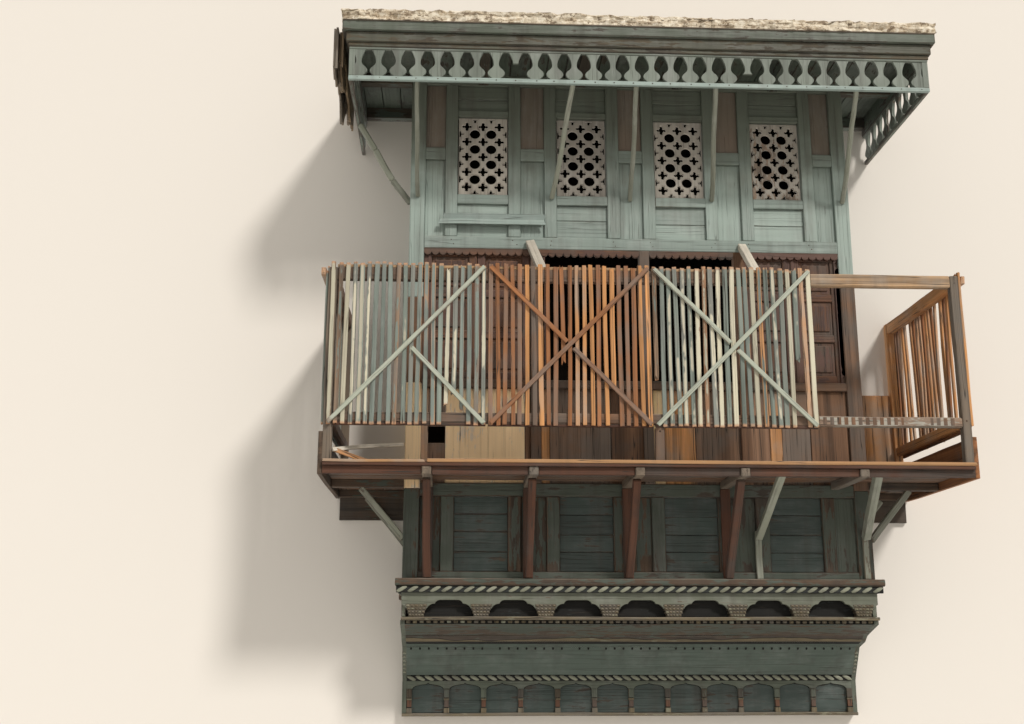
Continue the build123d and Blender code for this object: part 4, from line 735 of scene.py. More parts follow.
# %% Floor boards and nosing
FLOOR_BOARD = 0.125
floor_boards = Boards(31)
for low, high in boxes("balcony_floor"):
    size = high - low
    along = int(np.argmax(size[:2]))
    count = round(size[1 - along] / FLOOR_BOARD)
    planks(floor_boards, low, high, along, count, 0.004, 0.002, wear=0.3, bow=0.003)
floor_boards.piece("balcony_floor_boards", [BARE_BROWN], "bare_brown", ["balcony_floor"])

# The front edge: a pale lip in two lengths with an open joint, over a redder strip. The lip is paler than its
# wood, painted sunlight on the top edge, and the darker strip under it is painted shade.
NOSING_JOINT = 0.55
NOSING_LIP_HEIGHT = 0.019
JOINT_HALF = 0.004
NOSING_SETBACK = 0.006
nosing = Boards(32)
low, high = boxes("floor_nosing")[0]
joint = low[0] + NOSING_JOINT
lip = high[2] - NOSING_LIP_HEIGHT
for a, b, wear, ragged, material in (
    ((low[0], low[1], lip), (joint - JOINT_HALF, high[1], high[2] - 0.004), 0.2, 0.012, 0),
    ((joint + JOINT_HALF, low[1], lip), (high[0], high[1] - 0.003, high[2]), 0.2, 0.012, 0),
    ((low[0], low[1] + NOSING_SETBACK, low[2]), (high[0], high[1], lip), 0.4, 0.01, 1),
):
    nosing.boxed(a, b, wear=wear, bow=0.002, ragged=ragged, material=material)
nosing.piece("floor_nosing_strip", [SUNLIT_NOSING_LIP, BRACKET_RED], "orange_wood", ["floor_nosing"])

# %% Beams, rims, laths and boards
BOX_SIDE = 1.33
LOW_LATHS = 0.4
STUB_POST_TOP = 1.0


def at_side(low, high):
    """1 for a timber that lies wholly beside the box, and 0 for any other."""
    return int(min(abs(low[0]), abs(high[0])) > BOX_SIDE)


def post_wood(low, high):
    """Brown for the stub under the rails, orange for the post at the wall on the right, or grey."""
    if high[2] < STUB_POST_TOP:
        return 2
    return int(low[0] > 1 and high[1] > -0.1)


timbers("floor_rim_boards", "floor_rim", 33, "bare_brown", [BRACKET_RED], ragged=0.004)
timbers("floor_beam_timbers", "floor_beams", 34, "bare_brown", [GREY_TIMBER, DARK_TEAL], at_side,
        wear=0.3, bow=0.002, chamfer=0.004)
timbers("bracket_lath_boards", "bracket_laths", 35, "bare_brown", [BRACKET_RED, STRUT_GREY],
        lambda low, high: int(high[2] < LOW_LATHS), bow=0.002, ragged=0.004)
timbers("wall_ledger_boards", "wall_ledgers", 36, "dark_teal", [DARK_TEAL], ragged=0.006)
timbers("side_skirt_boards", "side_skirts", 37, "bare_brown", [SLAT_BROWN, DARK_TEAL],
        lambda low, high: int(low[0] < 0), wear=0.3, bow=0.003, ragged=0.008)
timbers("balcony_post_timbers", "balcony_posts", 38, "bare_brown", [GREY_TIMBER, ORANGE_WOOD, BARE_BROWN],
        post_wood, bow=0.003, chamfer=0.004)
timbers("handrail_timbers", "handrails", 40, "orange_wood", [ORANGE_WOOD], wear=0.35, bow=0.004, ragged=0.01)

# %% Brackets, knees and braces
slanting_piece("floor_bracket_timbers", "floor_brackets", 41, "bare_brown", [BRACKET_RED, STRUT_GREY],
               lambda corners: int(abs(corners[:, 0].mean()) > BOX_SIDE), wear=0.25, bow=0.003, chamfer=0.004)
slanting_piece("pale_brace_laths", "pale_braces", 42, "pale_slats", [STRUT_GREY], wear=0.1, bow=0.003)
slanting_piece("balcony_stay_timbers", "balcony_stays", 43, "pale_slats", [STAY_CREAM], wear=0.1, bow=0.002)

# %% Rails with the prints of lost slats
# Behind the lattice the rails are darker bare brown: painted shade of the lattice over them. In the open
# bay the low one is bleached, and the slats that fell off have left their prints on it.
OPEN_BAY = 0.918
SLAT_PITCH = 0.0394
PRINT_WIDTH = 0.021
PRINTS_GONE = 0.08
UPPER_RAIL_FROM = 1.2
rails = Boards(39)
for low, high in boxes("balcony_rails"):
    if high[0] - low[0] < 1:
        rails.boxed(low, high, wear=0.3, bow=0.003, chamfer=0.005, material=int(low[0] < 0))
        continue
    upper = low[2] > UPPER_RAIL_FROM
    # Painted shade: the length behind the lattice gets the darker bare brown
    rails.boxed(low, (OPEN_BAY, high[1], high[2]), wear=0.2, bow=0.002, chamfer=0.005, material=1)
    rails.boxed((OPEN_BAY, low[1], low[2]), high, wear=0.2, bow=0.003, chamfer=0.005,
                material=2 if upper else 3)
    if upper:
        continue
    for k in range(int((high[0] - OPEN_BAY) / SLAT_PITCH)):
        x = OPEN_BAY + SLAT_PITCH * (k + 0.6)
        if rails.random.random() < PRINTS_GONE:
            continue
        rails.boxed((x, low[1] - 0.001, low[2] + 0.008), (x + PRINT_WIDTH, low[1] + 0.002, high[2] - 0.006),
                    along=2, wear=rails.random.uniform(0, 0.5), bow=0.0, chamfer=0.0005, material=1)
rails.piece("balcony_rail_timbers", [ORANGE_WOOD, BARE_BROWN, RAIL_WOOD, PRINTED_RAIL], "orange_wood",
            ["balcony_rails"])

# %% [markdown]
# ## Slatted lattice
# Each panel is a row of hand-sawn slats nailed to rails, with laths nailed over them on the slant.
# No two slats have the same width, colour or height, and some have lost their foot. So each slat is
# its own stick with a random lean, top and paint. The middle panel is bare orange and brown wood.

# %% One row of slats
SIDE_SLAT_PITCH = 0.046
SIDE_SLAT_WIDTH = 0.025
SLAT_THICKNESS = 0.013
SLAT_EDGE = 0.013
SLAT_WOBBLE = 0.0015
SLAT_LEAN = 0.005
LEFT_BATTEN_START = -1.717
BATTEN_DEPTH = 0.014
TOP_STAND = 0.032
BATTEN_HEIGHT = 0.017


def slat_panel(name, node, seed, slot, materials, shares, short, fixed):
    """Slats and battens of a front panel.

    short gives the level at which some slats' feet end, and fixed the material of some slats.
    """
    boards = Boards(seed)
    low, high = (np.array(corner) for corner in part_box(node))
    count = round((high[0] - low[0]) / SLAT_PITCH + 0.3)
    kind = 0
    for i in range(count):
        inner = 0 < i < count - 1
        if boards.random.random() < 0.75:
            kind = int(boards.random.choice(len(shares), p=shares))
        width = boards.random.uniform(0.0215, 0.0262)
        wobble = boards.random.uniform(-SLAT_WOBBLE, SLAT_WOBBLE)
        middle = low[0] + i * SLAT_PITCH + SLAT_EDGE + wobble * inner
        lean = boards.random.uniform(-SLAT_LEAN, SLAT_LEAN) * inner
        top = high[2] - abs(boards.random.normal(0, 0.008))
        foot = low[2] + boards.random.uniform(0, 0.006)
        ragged = 0.004
        if i in short:
            foot, ragged = short[i], 0.05
        out = low[1] + SLAT_THICKNESS / 2 + boards.random.uniform(0, 0.002)
        boards.stick((middle - lean, out, foot), (middle + lean, out, top), width, SLAT_THICKNESS,
                     wear=boards.random.choice((0.0, 0.15, 0.35), p=(0.5, 0.35, 0.15)),
                     bow=0.002, chamfer=0.002, ragged=ragged, material=fixed.get(i, kind))
    left, back = max(low[0], LEFT_BATTEN_START), high[1]
    for level, wood in ((low[2], 1), (high[2] - TOP_STAND, 0)):
        boards.boxed((left, back - BATTEN_DEPTH, level), (high[0], back, level + BATTEN_HEIGHT),
                     wear=0.2, bow=0.001, material=len(materials) + wood)
    return boards.piece(name, materials + [RAIL_WOOD, BRACKET_RED], slot, [node])


SLAT_PAINTS = [SLAT_PAINT_AND_SHADOW, SLAT_BLUE, SLAT_CREAM, ORANGE_WOOD, SLAT_RUSTY]
slat_panel("slats_left", "lattice_left", 51, "pale_slats", SLAT_PAINTS, (0.50, 0.38, 0.12, 0.0),
           short={16: 0.93, 17: 0.98, 18: 0.90}, fixed={12: 4, 13: 4, 14: 4, 0: 2})
slat_panel("slats_middle", "lattice_middle", 52, "orange_wood",
           [ORANGE_WOOD, SLAT_BROWN, SLAT_CREAM, BARE_BROWN], (0.42, 0.38, 0.04, 0.16),
           short={10: 1.16, 17: 1.02}, fixed={22: 0})
slat_panel("slats_right", "lattice_right", 53, "pale_slats", SLAT_PAINTS, (0.52, 0.09, 0.39, 0.0),
           short={0: 1.08, 20: 1.18}, fixed={13: 4, 15: 4, 21: 3, 22: 2, 0: 1, 1: 1})

# %% Slanting laths over the slats
# A lath that stops at the crossing is shorter than this, and goes on to near the panel's middle
HALF_LATH = 0.75
CROSSING_GAP = 0.016
laths = Boards(54)
panels = [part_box(name) for name in ("lattice_middle", "lattice_right")]
for corners in solids("lattice_braces"):
    middle = corners.mean(0)[0]
    over = [low.x < middle < high.x for low, high in panels]
    meet = None
    if any(over) and np.linalg.norm(np.ptp(corners, axis=0)) < HALF_LATH:
        low, high = panels[over.index(True)]
        centre = (low.x + high.x) / 2
        meet = centre + math.copysign(CROSSING_GAP, middle - centre)
    slanting(laths, corners, narrow=0.78, meet=meet, wear=0.1, bow=0.002, chamfer=0.002, ragged=0.012,
             material=int(over[0]))
laths.piece("lattice_lath_strips", [LATH_WHITE, SLAT_BROWN], "pale_slats", ["lattice_braces"])


# %% Slatted sides
def slat_side(name, node, seed, slot, materials, shares, splay, missing=()):
    """Slats and battens of a side panel; splay is how far feet and heads wander."""
    boards = Boards(seed)
    low, high = (np.array(corner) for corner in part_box(node))
    side = 1 if low[0] > 0 else -1
    outer, inner = (high[0], low[0]) if side > 0 else (low[0], high[0])
    count = round((high[1] - low[1]) / SIDE_SLAT_PITCH + 0.3)
    run = (count - 1) * SIDE_SLAT_PITCH + SIDE_SLAT_WIDTH + 0.001
    edge = low[1] if side > 0 else high[1] - run
    for i in range(count):
        if i in missing:
            continue
        middle = edge + i * SIDE_SLAT_PITCH + SLAT_EDGE
        shift = boards.random.uniform(-splay, splay) * (0 < i < count - 1)
        top = high[2] - abs(boards.random.normal(0, 0.015))
        foot = low[2] + boards.random.uniform(0, 0.02)
        place = outer - side * 0.0075
        kind = int(boards.random.choice(len(shares), p=shares))
        boards.stick((place, middle + shift, foot), (place, middle - shift * 0.4, top), SIDE_SLAT_WIDTH,
                     SLAT_THICKNESS, face=(side, 0, 0), wear=boards.random.uniform(0.1, 0.5), bow=0.003,
                     ragged=0.01, chamfer=0.002, material=kind)
    near, far = sorted((inner, inner + side * BATTEN_DEPTH))
    for level in (low[2], high[2] - TOP_STAND):
        boards.boxed((near, low[1] + 0.05, level), (far, high[1] - 0.05, level + BATTEN_HEIGHT), wear=0.2)
    return boards.piece(name, materials, slot, [node])


slat_side("slats_side_left", "lattice_side_left", 55, "pale_slats", SLAT_PAINTS, (0.4, 0.4, 0.2), 0.004)
slat_side("slats_side_right", "lattice_side_right", 56, "bare_brown", [SLAT_BROWN, ORANGE_WOOD],
          (0.35, 0.65), 0.032, missing=(7, 17))

# %% [markdown]
# ## Outlines cut from a board
# Balusters, arches, scallops and broken edges are boards sawn to an outline. A bevelled curve could
# make them, but an n-gon is simpler: the outline once at the back, once near the front and once more
# on the front face, drawn in a little so that the edge catches the light.

# %% Sawn shapes
SAWN_CHAMFER = 0.0015


def units(rows):
    return rows / np.maximum(np.linalg.norm(rows, axis=1, keepdims=True), 1e-9)


def drawn_in(outline, amount):
    """The outline moved inwards by a small amount, corner by corner."""
    after, before = np.roll(outline, -1, axis=0), np.roll(outline, 1, axis=0)
    onward = units(after - outline) + units(outline - before)
    return outline + units(np.stack([-onward[:, 1], onward[:, 0]], axis=1)) * amount


def sawn(boards, outline, back, front, upright=True, side=False, wear=0.0, material=0):
    """A board sawn to an anticlockwise outline in (x, z), between two places along Y.

    With side set, the outline is in (y, z) instead and back and front are places along X.
    """
    outline = np.asarray(outline, float)
    count = len(outline)
    inset = drawn_in(outline, SAWN_CHAMFER)
    step = math.copysign(SAWN_CHAMFER, front - back)
    rings = [(outline, back), (outline, front - step), (inset, front)]
    points = np.concatenate([
        np.column_stack([ring[:, 0], np.full(count, depth), ring[:, 1]]) for ring, depth in rings
    ])
    faces = [list(range(count)), list(range(3 * count - 1, 2 * count - 1, -1))] + tube(3, count)
    if front < back:
        faces = [face[::-1] for face in faces]
    local = points - points.mean(0)
    order = [2, 0, 1] if upright else [0, 2, 1]
    if side:
        points = points[:, [1, 0, 2]]
        faces = [face[::-1] for face in faces]
    boards.add(points, faces, local[:, order], FAR, wear, material)


# %% [markdown]
# ## Canopy: plaster, deck and fascia
# A crust of lime and mud lies on the canopy. It was laid in layers, and rain has eaten into their
# edges. The slab is made as six welded grids, and every point is then pushed inwards by noise: thin
# level strata on the edges and soft hollows on top. Lumps sit along the rim. Below it the fascia
# steps back in three boards, and the soffit is boarded from front to back.

# %% The plaster crust
CRUST_STEP = 0.022
LUMP_COUNT = 260
DEEPEST_BITE = 0.045
RIM_WIDTH = 0.05
ON_FACE = 1e-4


def slab(low, high, step):
    """Points and faces of a box whose six sides are fine grids with shared edges."""
    mesh = bmesh.new()
    low, high = np.asarray(low, float), np.asarray(high, float)
    for axis in range(3):
        u, v = [k for k in range(3) if k != axis]
        us, vs = (np.linspace(low[k], high[k], max(2, int((high[k] - low[k]) / step) + 1)) for k in (u, v))
        for level in (low[axis], high[axis]):
            grid = []
            for a in us:
                rows = np.zeros((len(vs), 3))
                rows[:, axis], rows[:, u], rows[:, v] = level, a, vs
                grid.append([mesh.verts.new(point) for point in rows])
            for near, far in zip(grid[:-1], grid[1:]):
                for j in range(len(vs) - 1):
                    mesh.faces.new((near[j], far[j], far[j + 1], near[j + 1]))
    bmesh.ops.remove_doubles(mesh, verts=mesh.verts, dist=step * 0.05)
    bmesh.ops.recalc_face_normals(mesh, faces=mesh.faces)
    return mesh


def rough(point, scale):
    """Fractal noise between 0 and about 1."""
    return 0.5 + 0.5 * noise.fractal(Vector(point) * scale, 0.9, 2.1, 3)


def noise_at(point, x_scale, z_scale):
    """Noise from -1 to 1 that changes at one rate along the ground and another one upwards."""
    x, y, z = point
    return noise.noise(Vector((x * x_scale, y * x_scale, z * z_scale)))


def weather_crust(mesh, low, high):
    """Eat into the rim of the slab in level strata, and make its top uneven."""
    for vert in mesh.verts:
        x, y, z = place = tuple(vert.co)
        strata = noise_at(place, 2.2, 55.0) + 0.6 * noise_at(place, 9, 90)
        bite = 0.016 + 0.012 * strata + 0.010 * noise_at(place, 13, 13) + 0.020 * noise_at(place, 31, 40)
        bite = min(DEEPEST_BITE, max(0.0, bite))
        rim = min(x - low.x, high.x - x, y - low.y)
        fall = max(0.0, 1 - rim / RIM_WIDTH)
        if z > high.z - ON_FACE:
            vert.co.z -= 0.010 + 0.022 * rough((x, y, 0), 2.5) + 0.030 * fall * rough((x, y, 3), 9.0)
        if x < low.x + ON_FACE:
            vert.co.x += bite
        if x > high.x - ON_FACE:
            vert.co.x -= bite
        if y < low.y + ON_FACE:
            vert.co.y += bite


def lump(mesh, centre, size, seed):
    """A small broken stone or clod."""
    made = bmesh.ops.create_icosphere(mesh, subdivisions=2, radius=1.0)["verts"]
    for vert in made:
        worn = 0.75 + 0.35 * noise.noise(vert.co * 1.7 + Vector((seed, seed * 0.37, 0)))
        vert.co = Vector([c + v * s * worn for c, v, s in zip(centre, vert.co, size)])


def plaster_crust():
    random = np.random.default_rng(61)
    low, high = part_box("canopy_plaster")
    mesh = slab(low, high, CRUST_STEP)
    weather_crust(mesh, low, high)
    for i in range(LUMP_COUNT):
        size = random.uniform(0.012, 0.034) * np.array(
            [random.uniform(0.9, 1.9), random.uniform(0.8, 1.4), 0.55])
        side = random.random()
        if side < 0.62:
            place = [random.uniform(low.x + 0.05, high.x - 0.05), low.y + 0.050]
        else:
            edge = low.x + 0.055 if side < 0.81 else high.x - 0.055
            place = [edge, random.uniform(low.y + 0.05, -0.1)]
        level = min(high.z - 0.022, random.uniform(low.z + 0.02, high.z))
        lump(mesh, (*place, level), size, float(i))
    data = bpy.data.meshes.new("plaster_crust")
    mesh.to_mesh(data)
    mesh.free()
    print("plaster faces", len(data.polygons))
    return data


def lime_plaster():
    s = Shader("lime_plaster")
    spot = s.add("ShaderNodeNewGeometry", {}, {}, "Position")
    strata = s.noise(s.scaled(spot, (3.0, 3.0, 60.0)), 1.0, 4.0, 0.65)
    grit = s.noise(spot, 60.0, 4.0, 0.7)
    patch = s.noise(spot, 7.0, 4.0, 0.6)
    color = s.mix(patch.step(0.3, 0.7), (0.47, 0.37, 0.25), (0.66, 0.58, 0.45))
    color = s.mix((strata * 0.6 + grit * 0.4).step(0.45, 0.62), color, (0.72, 0.65, 0.53))
    color = s.mix((1 - strata).step(0.50, 0.68) * 0.75, color, (0.13, 0.09, 0.06))
    pits = s.noise(s.scaled(spot, (22.0, 22.0, 34.0)), 1.0, 3.0, 0.75)
    color = s.mix(pits.step(0.53, 0.60) * 0.85, color, (0.17, 0.12, 0.075))
    color = s.mix((1 - pits).step(0.53, 0.62) * 0.7, color, (0.86, 0.80, 0.68))
    return s.surface(color, 0.95, strata * 0.6 + grit * 0.4, depth=0.006)


finish_piece("plaster_crust", plaster_crust(), [lime_plaster()], ["canopy_plaster"])

# %% Deck boards and joists
SOFFIT_BOARD = 0.11
deck = Boards(62)
low, high = boxes("canopy_deck")[0]
planks(deck, low, high, 1, round((high[0] - low[0]) / SOFFIT_BOARD), 0.003, 0.001, wear=0.05, bow=0.001)
deck.piece("soffit_boards", [SOFFIT_GREEN], "faded_turquoise", ["canopy_deck"])
timbers("canopy_joist_timbers", "canopy_joists", 63, "faded_turquoise", [SOFFIT_GREEN], wear=0.1)

# %% [markdown]
# ## Stepped fascia
# The fascia is three boards deep. In the solid its section is one stepped outline, and here each
# step is its own board. A thin bright lath lies on top, and old boards hang torn from the left side.

# %% Three boards in steps
# Height, setback and thickness of each step, from the top down
FASCIA_STEPS = ((0.062, 0.0, 0.024), (0.062, 0.022, 0.018), (0.027, 0.035, 0.026))
CORE_START, CORE_END = 0.042, 0.065


def fascia_boards():
    boards = Boards(64)
    low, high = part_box("canopy_fascia")
    top = high.z
    for k, (height, setback, thickness) in enumerate(FASCIA_STEPS):
        face = low.y + setback
        left, right = low.x + setback, high.x - setback
        boards.boxed((left, face, top - height), (right, face + thickness, top), wear=0.05, chamfer=0.004,
                     material=0 if k == 0 else 2)
        for edge, side in ((left, 1), (right, -1)):
            near, far = sorted((edge, edge + side * thickness))
            boards.boxed((near, face + thickness, top - height), (far, high.y, top),
                         wear=boards.random.uniform(0.1, 0.3), chamfer=0.004, material=2)
        top -= height
    boards.boxed((low.x + CORE_START, low.y + CORE_START, low.z),
                 (high.x - CORE_START, low.y + CORE_END, high.z), wear=0.1, material=1)
    for edge, side in ((low.x, 1), (high.x, -1)):
        near, far = sorted((edge + side * CORE_START, edge + side * CORE_END))
        boards.boxed((near, low.y + CORE_END + 0.001, low.z), (far, high.y, high.z), wear=0.1, material=1)
    boards.boxed((low.x, low.y - 0.006, high.z - 0.007), (high.x, low.y + 0.004, high.z), bow=0.001,
                 material=3)
    boards.piece("fascia_boards", [FASCIA_GREEN, SOFFIT_GREEN, FASCIA_BROWN, GREY_TIMBER],
                 "faded_turquoise", ["canopy_fascia"])


fascia_boards()

# %% Torn boards at the left side
TORN_LAYERS = 4
TORN_THICKNESS = 0.012
TORN_STEP = 0.035
TORN_LEAST, TORN_MOST = 0.10, 0.36


def torn_boards():
    boards = Boards(68)
    low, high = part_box("canopy_fascia")
    for layer in range(TORN_LAYERS):
        outer = low.x - 0.001 - layer * (TORN_THICKNESS + 0.003)
        start, end = -boards.random.uniform(0.95, 1.06), -boards.random.uniform(0.04, 0.30)
        line = []
        for y in np.arange(start, end, TORN_STEP):
            share = 0.5 + noise.noise(Vector((y * 3.0, layer * 7.0, 0.0)))
            drop = TORN_LEAST + (TORN_MOST - TORN_LEAST) * share + boards.random.uniform(-0.03, 0.03)
            line.append((y, high.z - drop))
        line += [(end, high.z - 0.002), (start, high.z - 0.002)]
        sawn(boards, line, outer, outer - TORN_THICKNESS, side=True, wear=0.3)
    boards.piece("torn_side_boards", [TORN_BROWN], "faded_turquoise")


torn_boards()

# %% [markdown]
# ## Fretted valance
# Under the fascia hangs a row of cut-out balusters, each from its own short board: a wide cap, a
# narrow neck, and a bulb that ends in a point on the rail. The gaps between them read as tulips. The
# right half of one baluster is a short list of points, mirrored and repeated. Where boards have
# fallen off, the row has gaps, and one broken cap has stayed.

# %% Balusters
VALANCE_PITCH = 0.113
VALANCE_RAIL = 0.026
VALANCE_STRIP = 0.012
# Right half of a baluster from its head to its point: share of half a pitch, share of the height
BALUSTER_HALF = (
    (0.76, 1.0), (0.63, 0.95), (0.53, 0.88), (0.45, 0.81), (0.36, 0.74), (0.30, 0.66), (0.27, 0.58),
    (0.28, 0.50), (0.36, 0.44), (0.50, 0.39), (0.67, 0.34), (0.80, 0.29), (0.88, 0.23), (0.87, 0.17),
    (0.77, 0.11), (0.60, 0.055), (0.42, 0.0),
)
# Where balusters are broken along X, and the share of their height that still hangs
BROKEN_PARTS = ((-0.8155, -0.6525, 0.44), (0.566, 0.676, 0.64))
BALUSTER_WIDTH = 0.985
BALUSTER_SETBACK = 0.004
END_BLOCK = 0.035


def baluster(centre, low, high, head=1.0):
    """Outline of one baluster; head under 1 leaves only the stub that still hangs."""
    half = [(x, t) for x, t in BALUSTER_HALF if t >= 1 - head]
    right = [(centre + x * VALANCE_PITCH / 2 * BALUSTER_WIDTH, low + t * (high - low)) for x, t in half]
    left = [(2 * centre - x, z) for x, z in right]
    return left + right[::-1]


def valance_front():
    boards = Boards(65)
    low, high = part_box("valance_front")
    rail_top, strip = low.z + VALANCE_RAIL, high.z - VALANCE_STRIP
    count = round((high.x - low.x) / VALANCE_PITCH)
    for i in range(count):
        centre = low.x + (i + 0.5) * VALANCE_PITCH
        head = min([left for a, b, left in BROKEN_PARTS if a < centre < b], default=1.0)
        setback = boards.random.uniform(0, 0.003)
        outline = baluster(centre, rail_top, strip, head)
        front = low.y + BALUSTER_SETBACK + setback
        sawn(boards, outline, high.y, front, wear=boards.random.uniform(0.0, 0.1))
    boards.boxed((low.x, low.y, strip), high, wear=0.1, chamfer=0.002)
    boards.boxed(low, (high.x, high.y, rail_top), wear=0.05, bow=0.002, material=1)
    for edge in (low.x, high.x - END_BLOCK):
        boards.boxed((edge, low.y + 0.003, rail_top), (edge + END_BLOCK, high.y, strip), along=2, wear=0.2)
    boards.piece("valance_front_balusters", [VALANCE_GREEN, PALE_BLUE], "faded_turquoise",
                 ["valance_front"])


def valance_sides():
    boards = Boards(66)
    for low, high in boxes("valance_sides"):
        back, front = low[0], high[0] - BALUSTER_SETBACK
        if low[0] < 0:
            back, front = high[0], low[0] + BALUSTER_SETBACK
        rail_top, strip = low[2] + VALANCE_RAIL, high[2] - VALANCE_STRIP
        count = int((high[1] - low[1]) / VALANCE_PITCH)
        start = (low[1] + high[1]) / 2 - (count - 1) * VALANCE_PITCH / 2
        for i in range(count):
            outline = baluster(start + i * VALANCE_PITCH, rail_top, strip)
            sawn(boards, outline, back, front, side=True, wear=boards.random.uniform(0.1, 0.5))
        boards.boxed((low[0], low[1], strip), high, wear=0.2, chamfer=0.002)
        boards.boxed(low, (high[0], high[1], rail_top), wear=0.4, bow=0.002)
    boards.piece("valance_side_balusters", [VALANCE_GREEN], "faded_turquoise", ["valance_sides"])


valance_front()
valance_sides()

# %% [markdown]
# ## Struts under the canopy
# Five thin sticks prop the valance off the box. They are branches roughly squared, so they waver, and
# their lower ends are rounded. Another, bowed stick props the left end of the canopy.

# %% Wavering sticks
strut_sticks = Boards(67)
for corners in solids("canopy_struts"):
    if len(corners) == 8:
        slanting(strut_sticks, corners, face=(1, 0, 0), wear=0.0, bow=0.007, chamfer=0.009, step=0.05)
        continue
    (left, front, bottom), (right, back, top) = corners.min(0), corners.max(0)
    depth = (front + back) / 2
    arc = ((left, top - 0.02), (left + 0.10, top - 0.19),
           (left + 0.21, bottom + 0.17), (right, bottom + 0.02))
    for (x0, z0), (x1, z1) in zip(arc[:-1], arc[1:]):
        strut_sticks.stick((x0, depth, z0), (x1, depth, z1), 0.036, 0.032, wear=0.1, bow=0.003, chamfer=0.008)
strut_sticks.piece("canopy_strut_sticks", [STRUT_GREY], "bare_brown", ["canopy_struts"])

# %% [markdown]
# ## Window frets
# Each window is a board pierced with round holes and four-lobed crosses, and half crosses along its
# edges. A filled curve with many holes in it is the shortest way to such a board: one outline, then
# one closed line for each hole, and the thickness as its extrusion. Its mesh is welded and turned to
# stand upright.

# %% A board pierced by a curve
FRET_GRID = 0.100
FRET_HOLE = 0.0325
FRET_HOLE_SIDES = 24
FRET_COLUMNS, FRET_ROWS = 2, 4
# One arm of a cross from notch to notch, and half a cross that opens on an edge
CROSS_ARM = (
    (0.0115, -0.0115), (0.0150, -0.0082), (0.0190, -0.0108), (0.0250, -0.0098), (0.0300, -0.0046),
    (0.0300, 0.0046), (0.0250, 0.0098), (0.0190, 0.0108), (0.0150, 0.0082),
)
HALF_CROSS = (
    (0.0, -0.0230), (0.0070, -0.0225), (0.0088, -0.0150), (0.0095, -0.0095), (0.0140, -0.0062),
    (0.0240, -0.0070), (0.0270, 0.0), (0.0240, 0.0070), (0.0140, 0.0062), (0.0095, 0.0095),
    (0.0088, 0.0150), (0.0070, 0.0225), (0.0, 0.0230),
)
FRET_BEVEL = 0.0014
FRET_BORDER = 0.009
FRET_GAP = 0.005


def ring(x, y, radius, sides):
    """Corners of a regular polygon, anticlockwise from the right."""
    angles = np.arange(sides) * 2 * math.pi / sides
    return [(x + radius * math.cos(a), y + radius * math.sin(a)) for a in angles]


def turned(points, x, y, quarters):
    """Points turned by quarter turns and moved to a place."""
    for _ in range(quarters):
        points = [(-v, u) for u, v in points]
    return [(x + u, y + v) for u, v in points]


def places(count):
    """Positions of count things on the fret's grid, about its middle."""
    return [(i - (count - 1) / 2) * FRET_GRID for i in range(count)]


def fret_holes(width, height):
    """Round holes in the fields, crosses on the grid's crossings and half crosses at the edges."""
    columns, rows = places(FRET_COLUMNS), places(FRET_ROWS)
    holes = [ring(x, y, FRET_HOLE, FRET_HOLE_SIDES) for x in columns for y in rows]
    for x in places(FRET_COLUMNS + 1):
        for y in places(FRET_ROWS + 1):
            holes.append([p for q in range(4) for p in turned(CROSS_ARM, x, y, q)])
    edge, top = width / 2 - FRET_BORDER, height / 2 - FRET_BORDER
    for y in rows:
        holes += [turned(HALF_CROSS, -edge, y, 0), turned(HALF_CROSS, edge, y, 2)]
    for x in columns:
        holes += [turned(HALF_CROSS, x, -top, 1), turned(HALF_CROSS, x, top, 3)]
    return holes


def pierced_board(name, lines, thickness):
    """Mesh of a board in the XY plane with one outline and many holes."""
    curve = bpy.data.curves.new(name, "CURVE")
    curve.dimensions, curve.fill_mode = "2D", "BOTH"
    curve.extrude = thickness / 2 - FRET_BEVEL
    curve.bevel_depth, curve.bevel_resolution, curve.offset = FRET_BEVEL, 0, -FRET_BEVEL
    for line in lines:
        spline = curve.splines.new("POLY")
        spline.points.add(len(line) - 1)
        spline.points.foreach_set("co", [v for x, y in line for v in (x, y, 0.0, 1.0)])
        spline.use_cyclic_u = True
    holder = bpy.data.objects.new(name, curve)
    mesh = bpy.data.meshes.new_from_object(holder)
    bpy.data.objects.remove(holder)
    bpy.data.curves.remove(curve)
    return mesh


def window_frets():
    random = np.random.default_rng(71)
    whole, place, mark = bmesh.new(), [], []
    for low, high in boxes("window_frets"):
        size, middle = high - low, (low + high) / 2
        w, h = size[0] / 2 - FRET_GAP, size[2] / 2 - FRET_GAP
        outline = [(-w, -h), (w, -h), (w, h), (-w, h)]
        board = pierced_board("fret", [outline] + fret_holes(size[0], size[2]), size[1])
        board.transform(Matrix.Translation(middle) @ Matrix.Rotation(math.radians(90), 4, "X"))
        before = len(whole.verts)
        whole.from_mesh(board)
        bpy.data.meshes.remove(board)
        whole.verts.ensure_lookup_table()
        tone = (random.random(), random.uniform(0.0, 0.12), random.random())
        for vert in whole.verts[before:]:
            x, y, z = vert.co - Vector(middle)
            place.append((z, x, y))
            mark.append(tone)
    mesh = bpy.data.meshes.new("window_frets")
    whole.to_mesh(mesh)
    whole.free()
    add_marks(mesh, place, np.tile(FAR, (len(place), 1)), mark)
    weld = bmesh.new()
    weld.from_mesh(mesh)
    bmesh.ops.remove_doubles(weld, verts=weld.verts, dist=WELD)
    weld.to_mesh(mesh)
    weld.free()
    print("frets", len(mesh.polygons), "faces")
    finish_piece("window_fret_boards", mesh, [FRET_BONE], ["window_frets"])


window_frets()

# %% [markdown]
# ## Middle storey
# The parapet was patched with whatever was at hand: raw sheets, orange planks and old brown ones,
# with one patch missing. The raw sheets are paler than raw wood: painted sunlight. The outer bays are
# shut by brown shutters with raised fields. Trims with scalloped edges hang under the transom and down
# the sides of two bays.

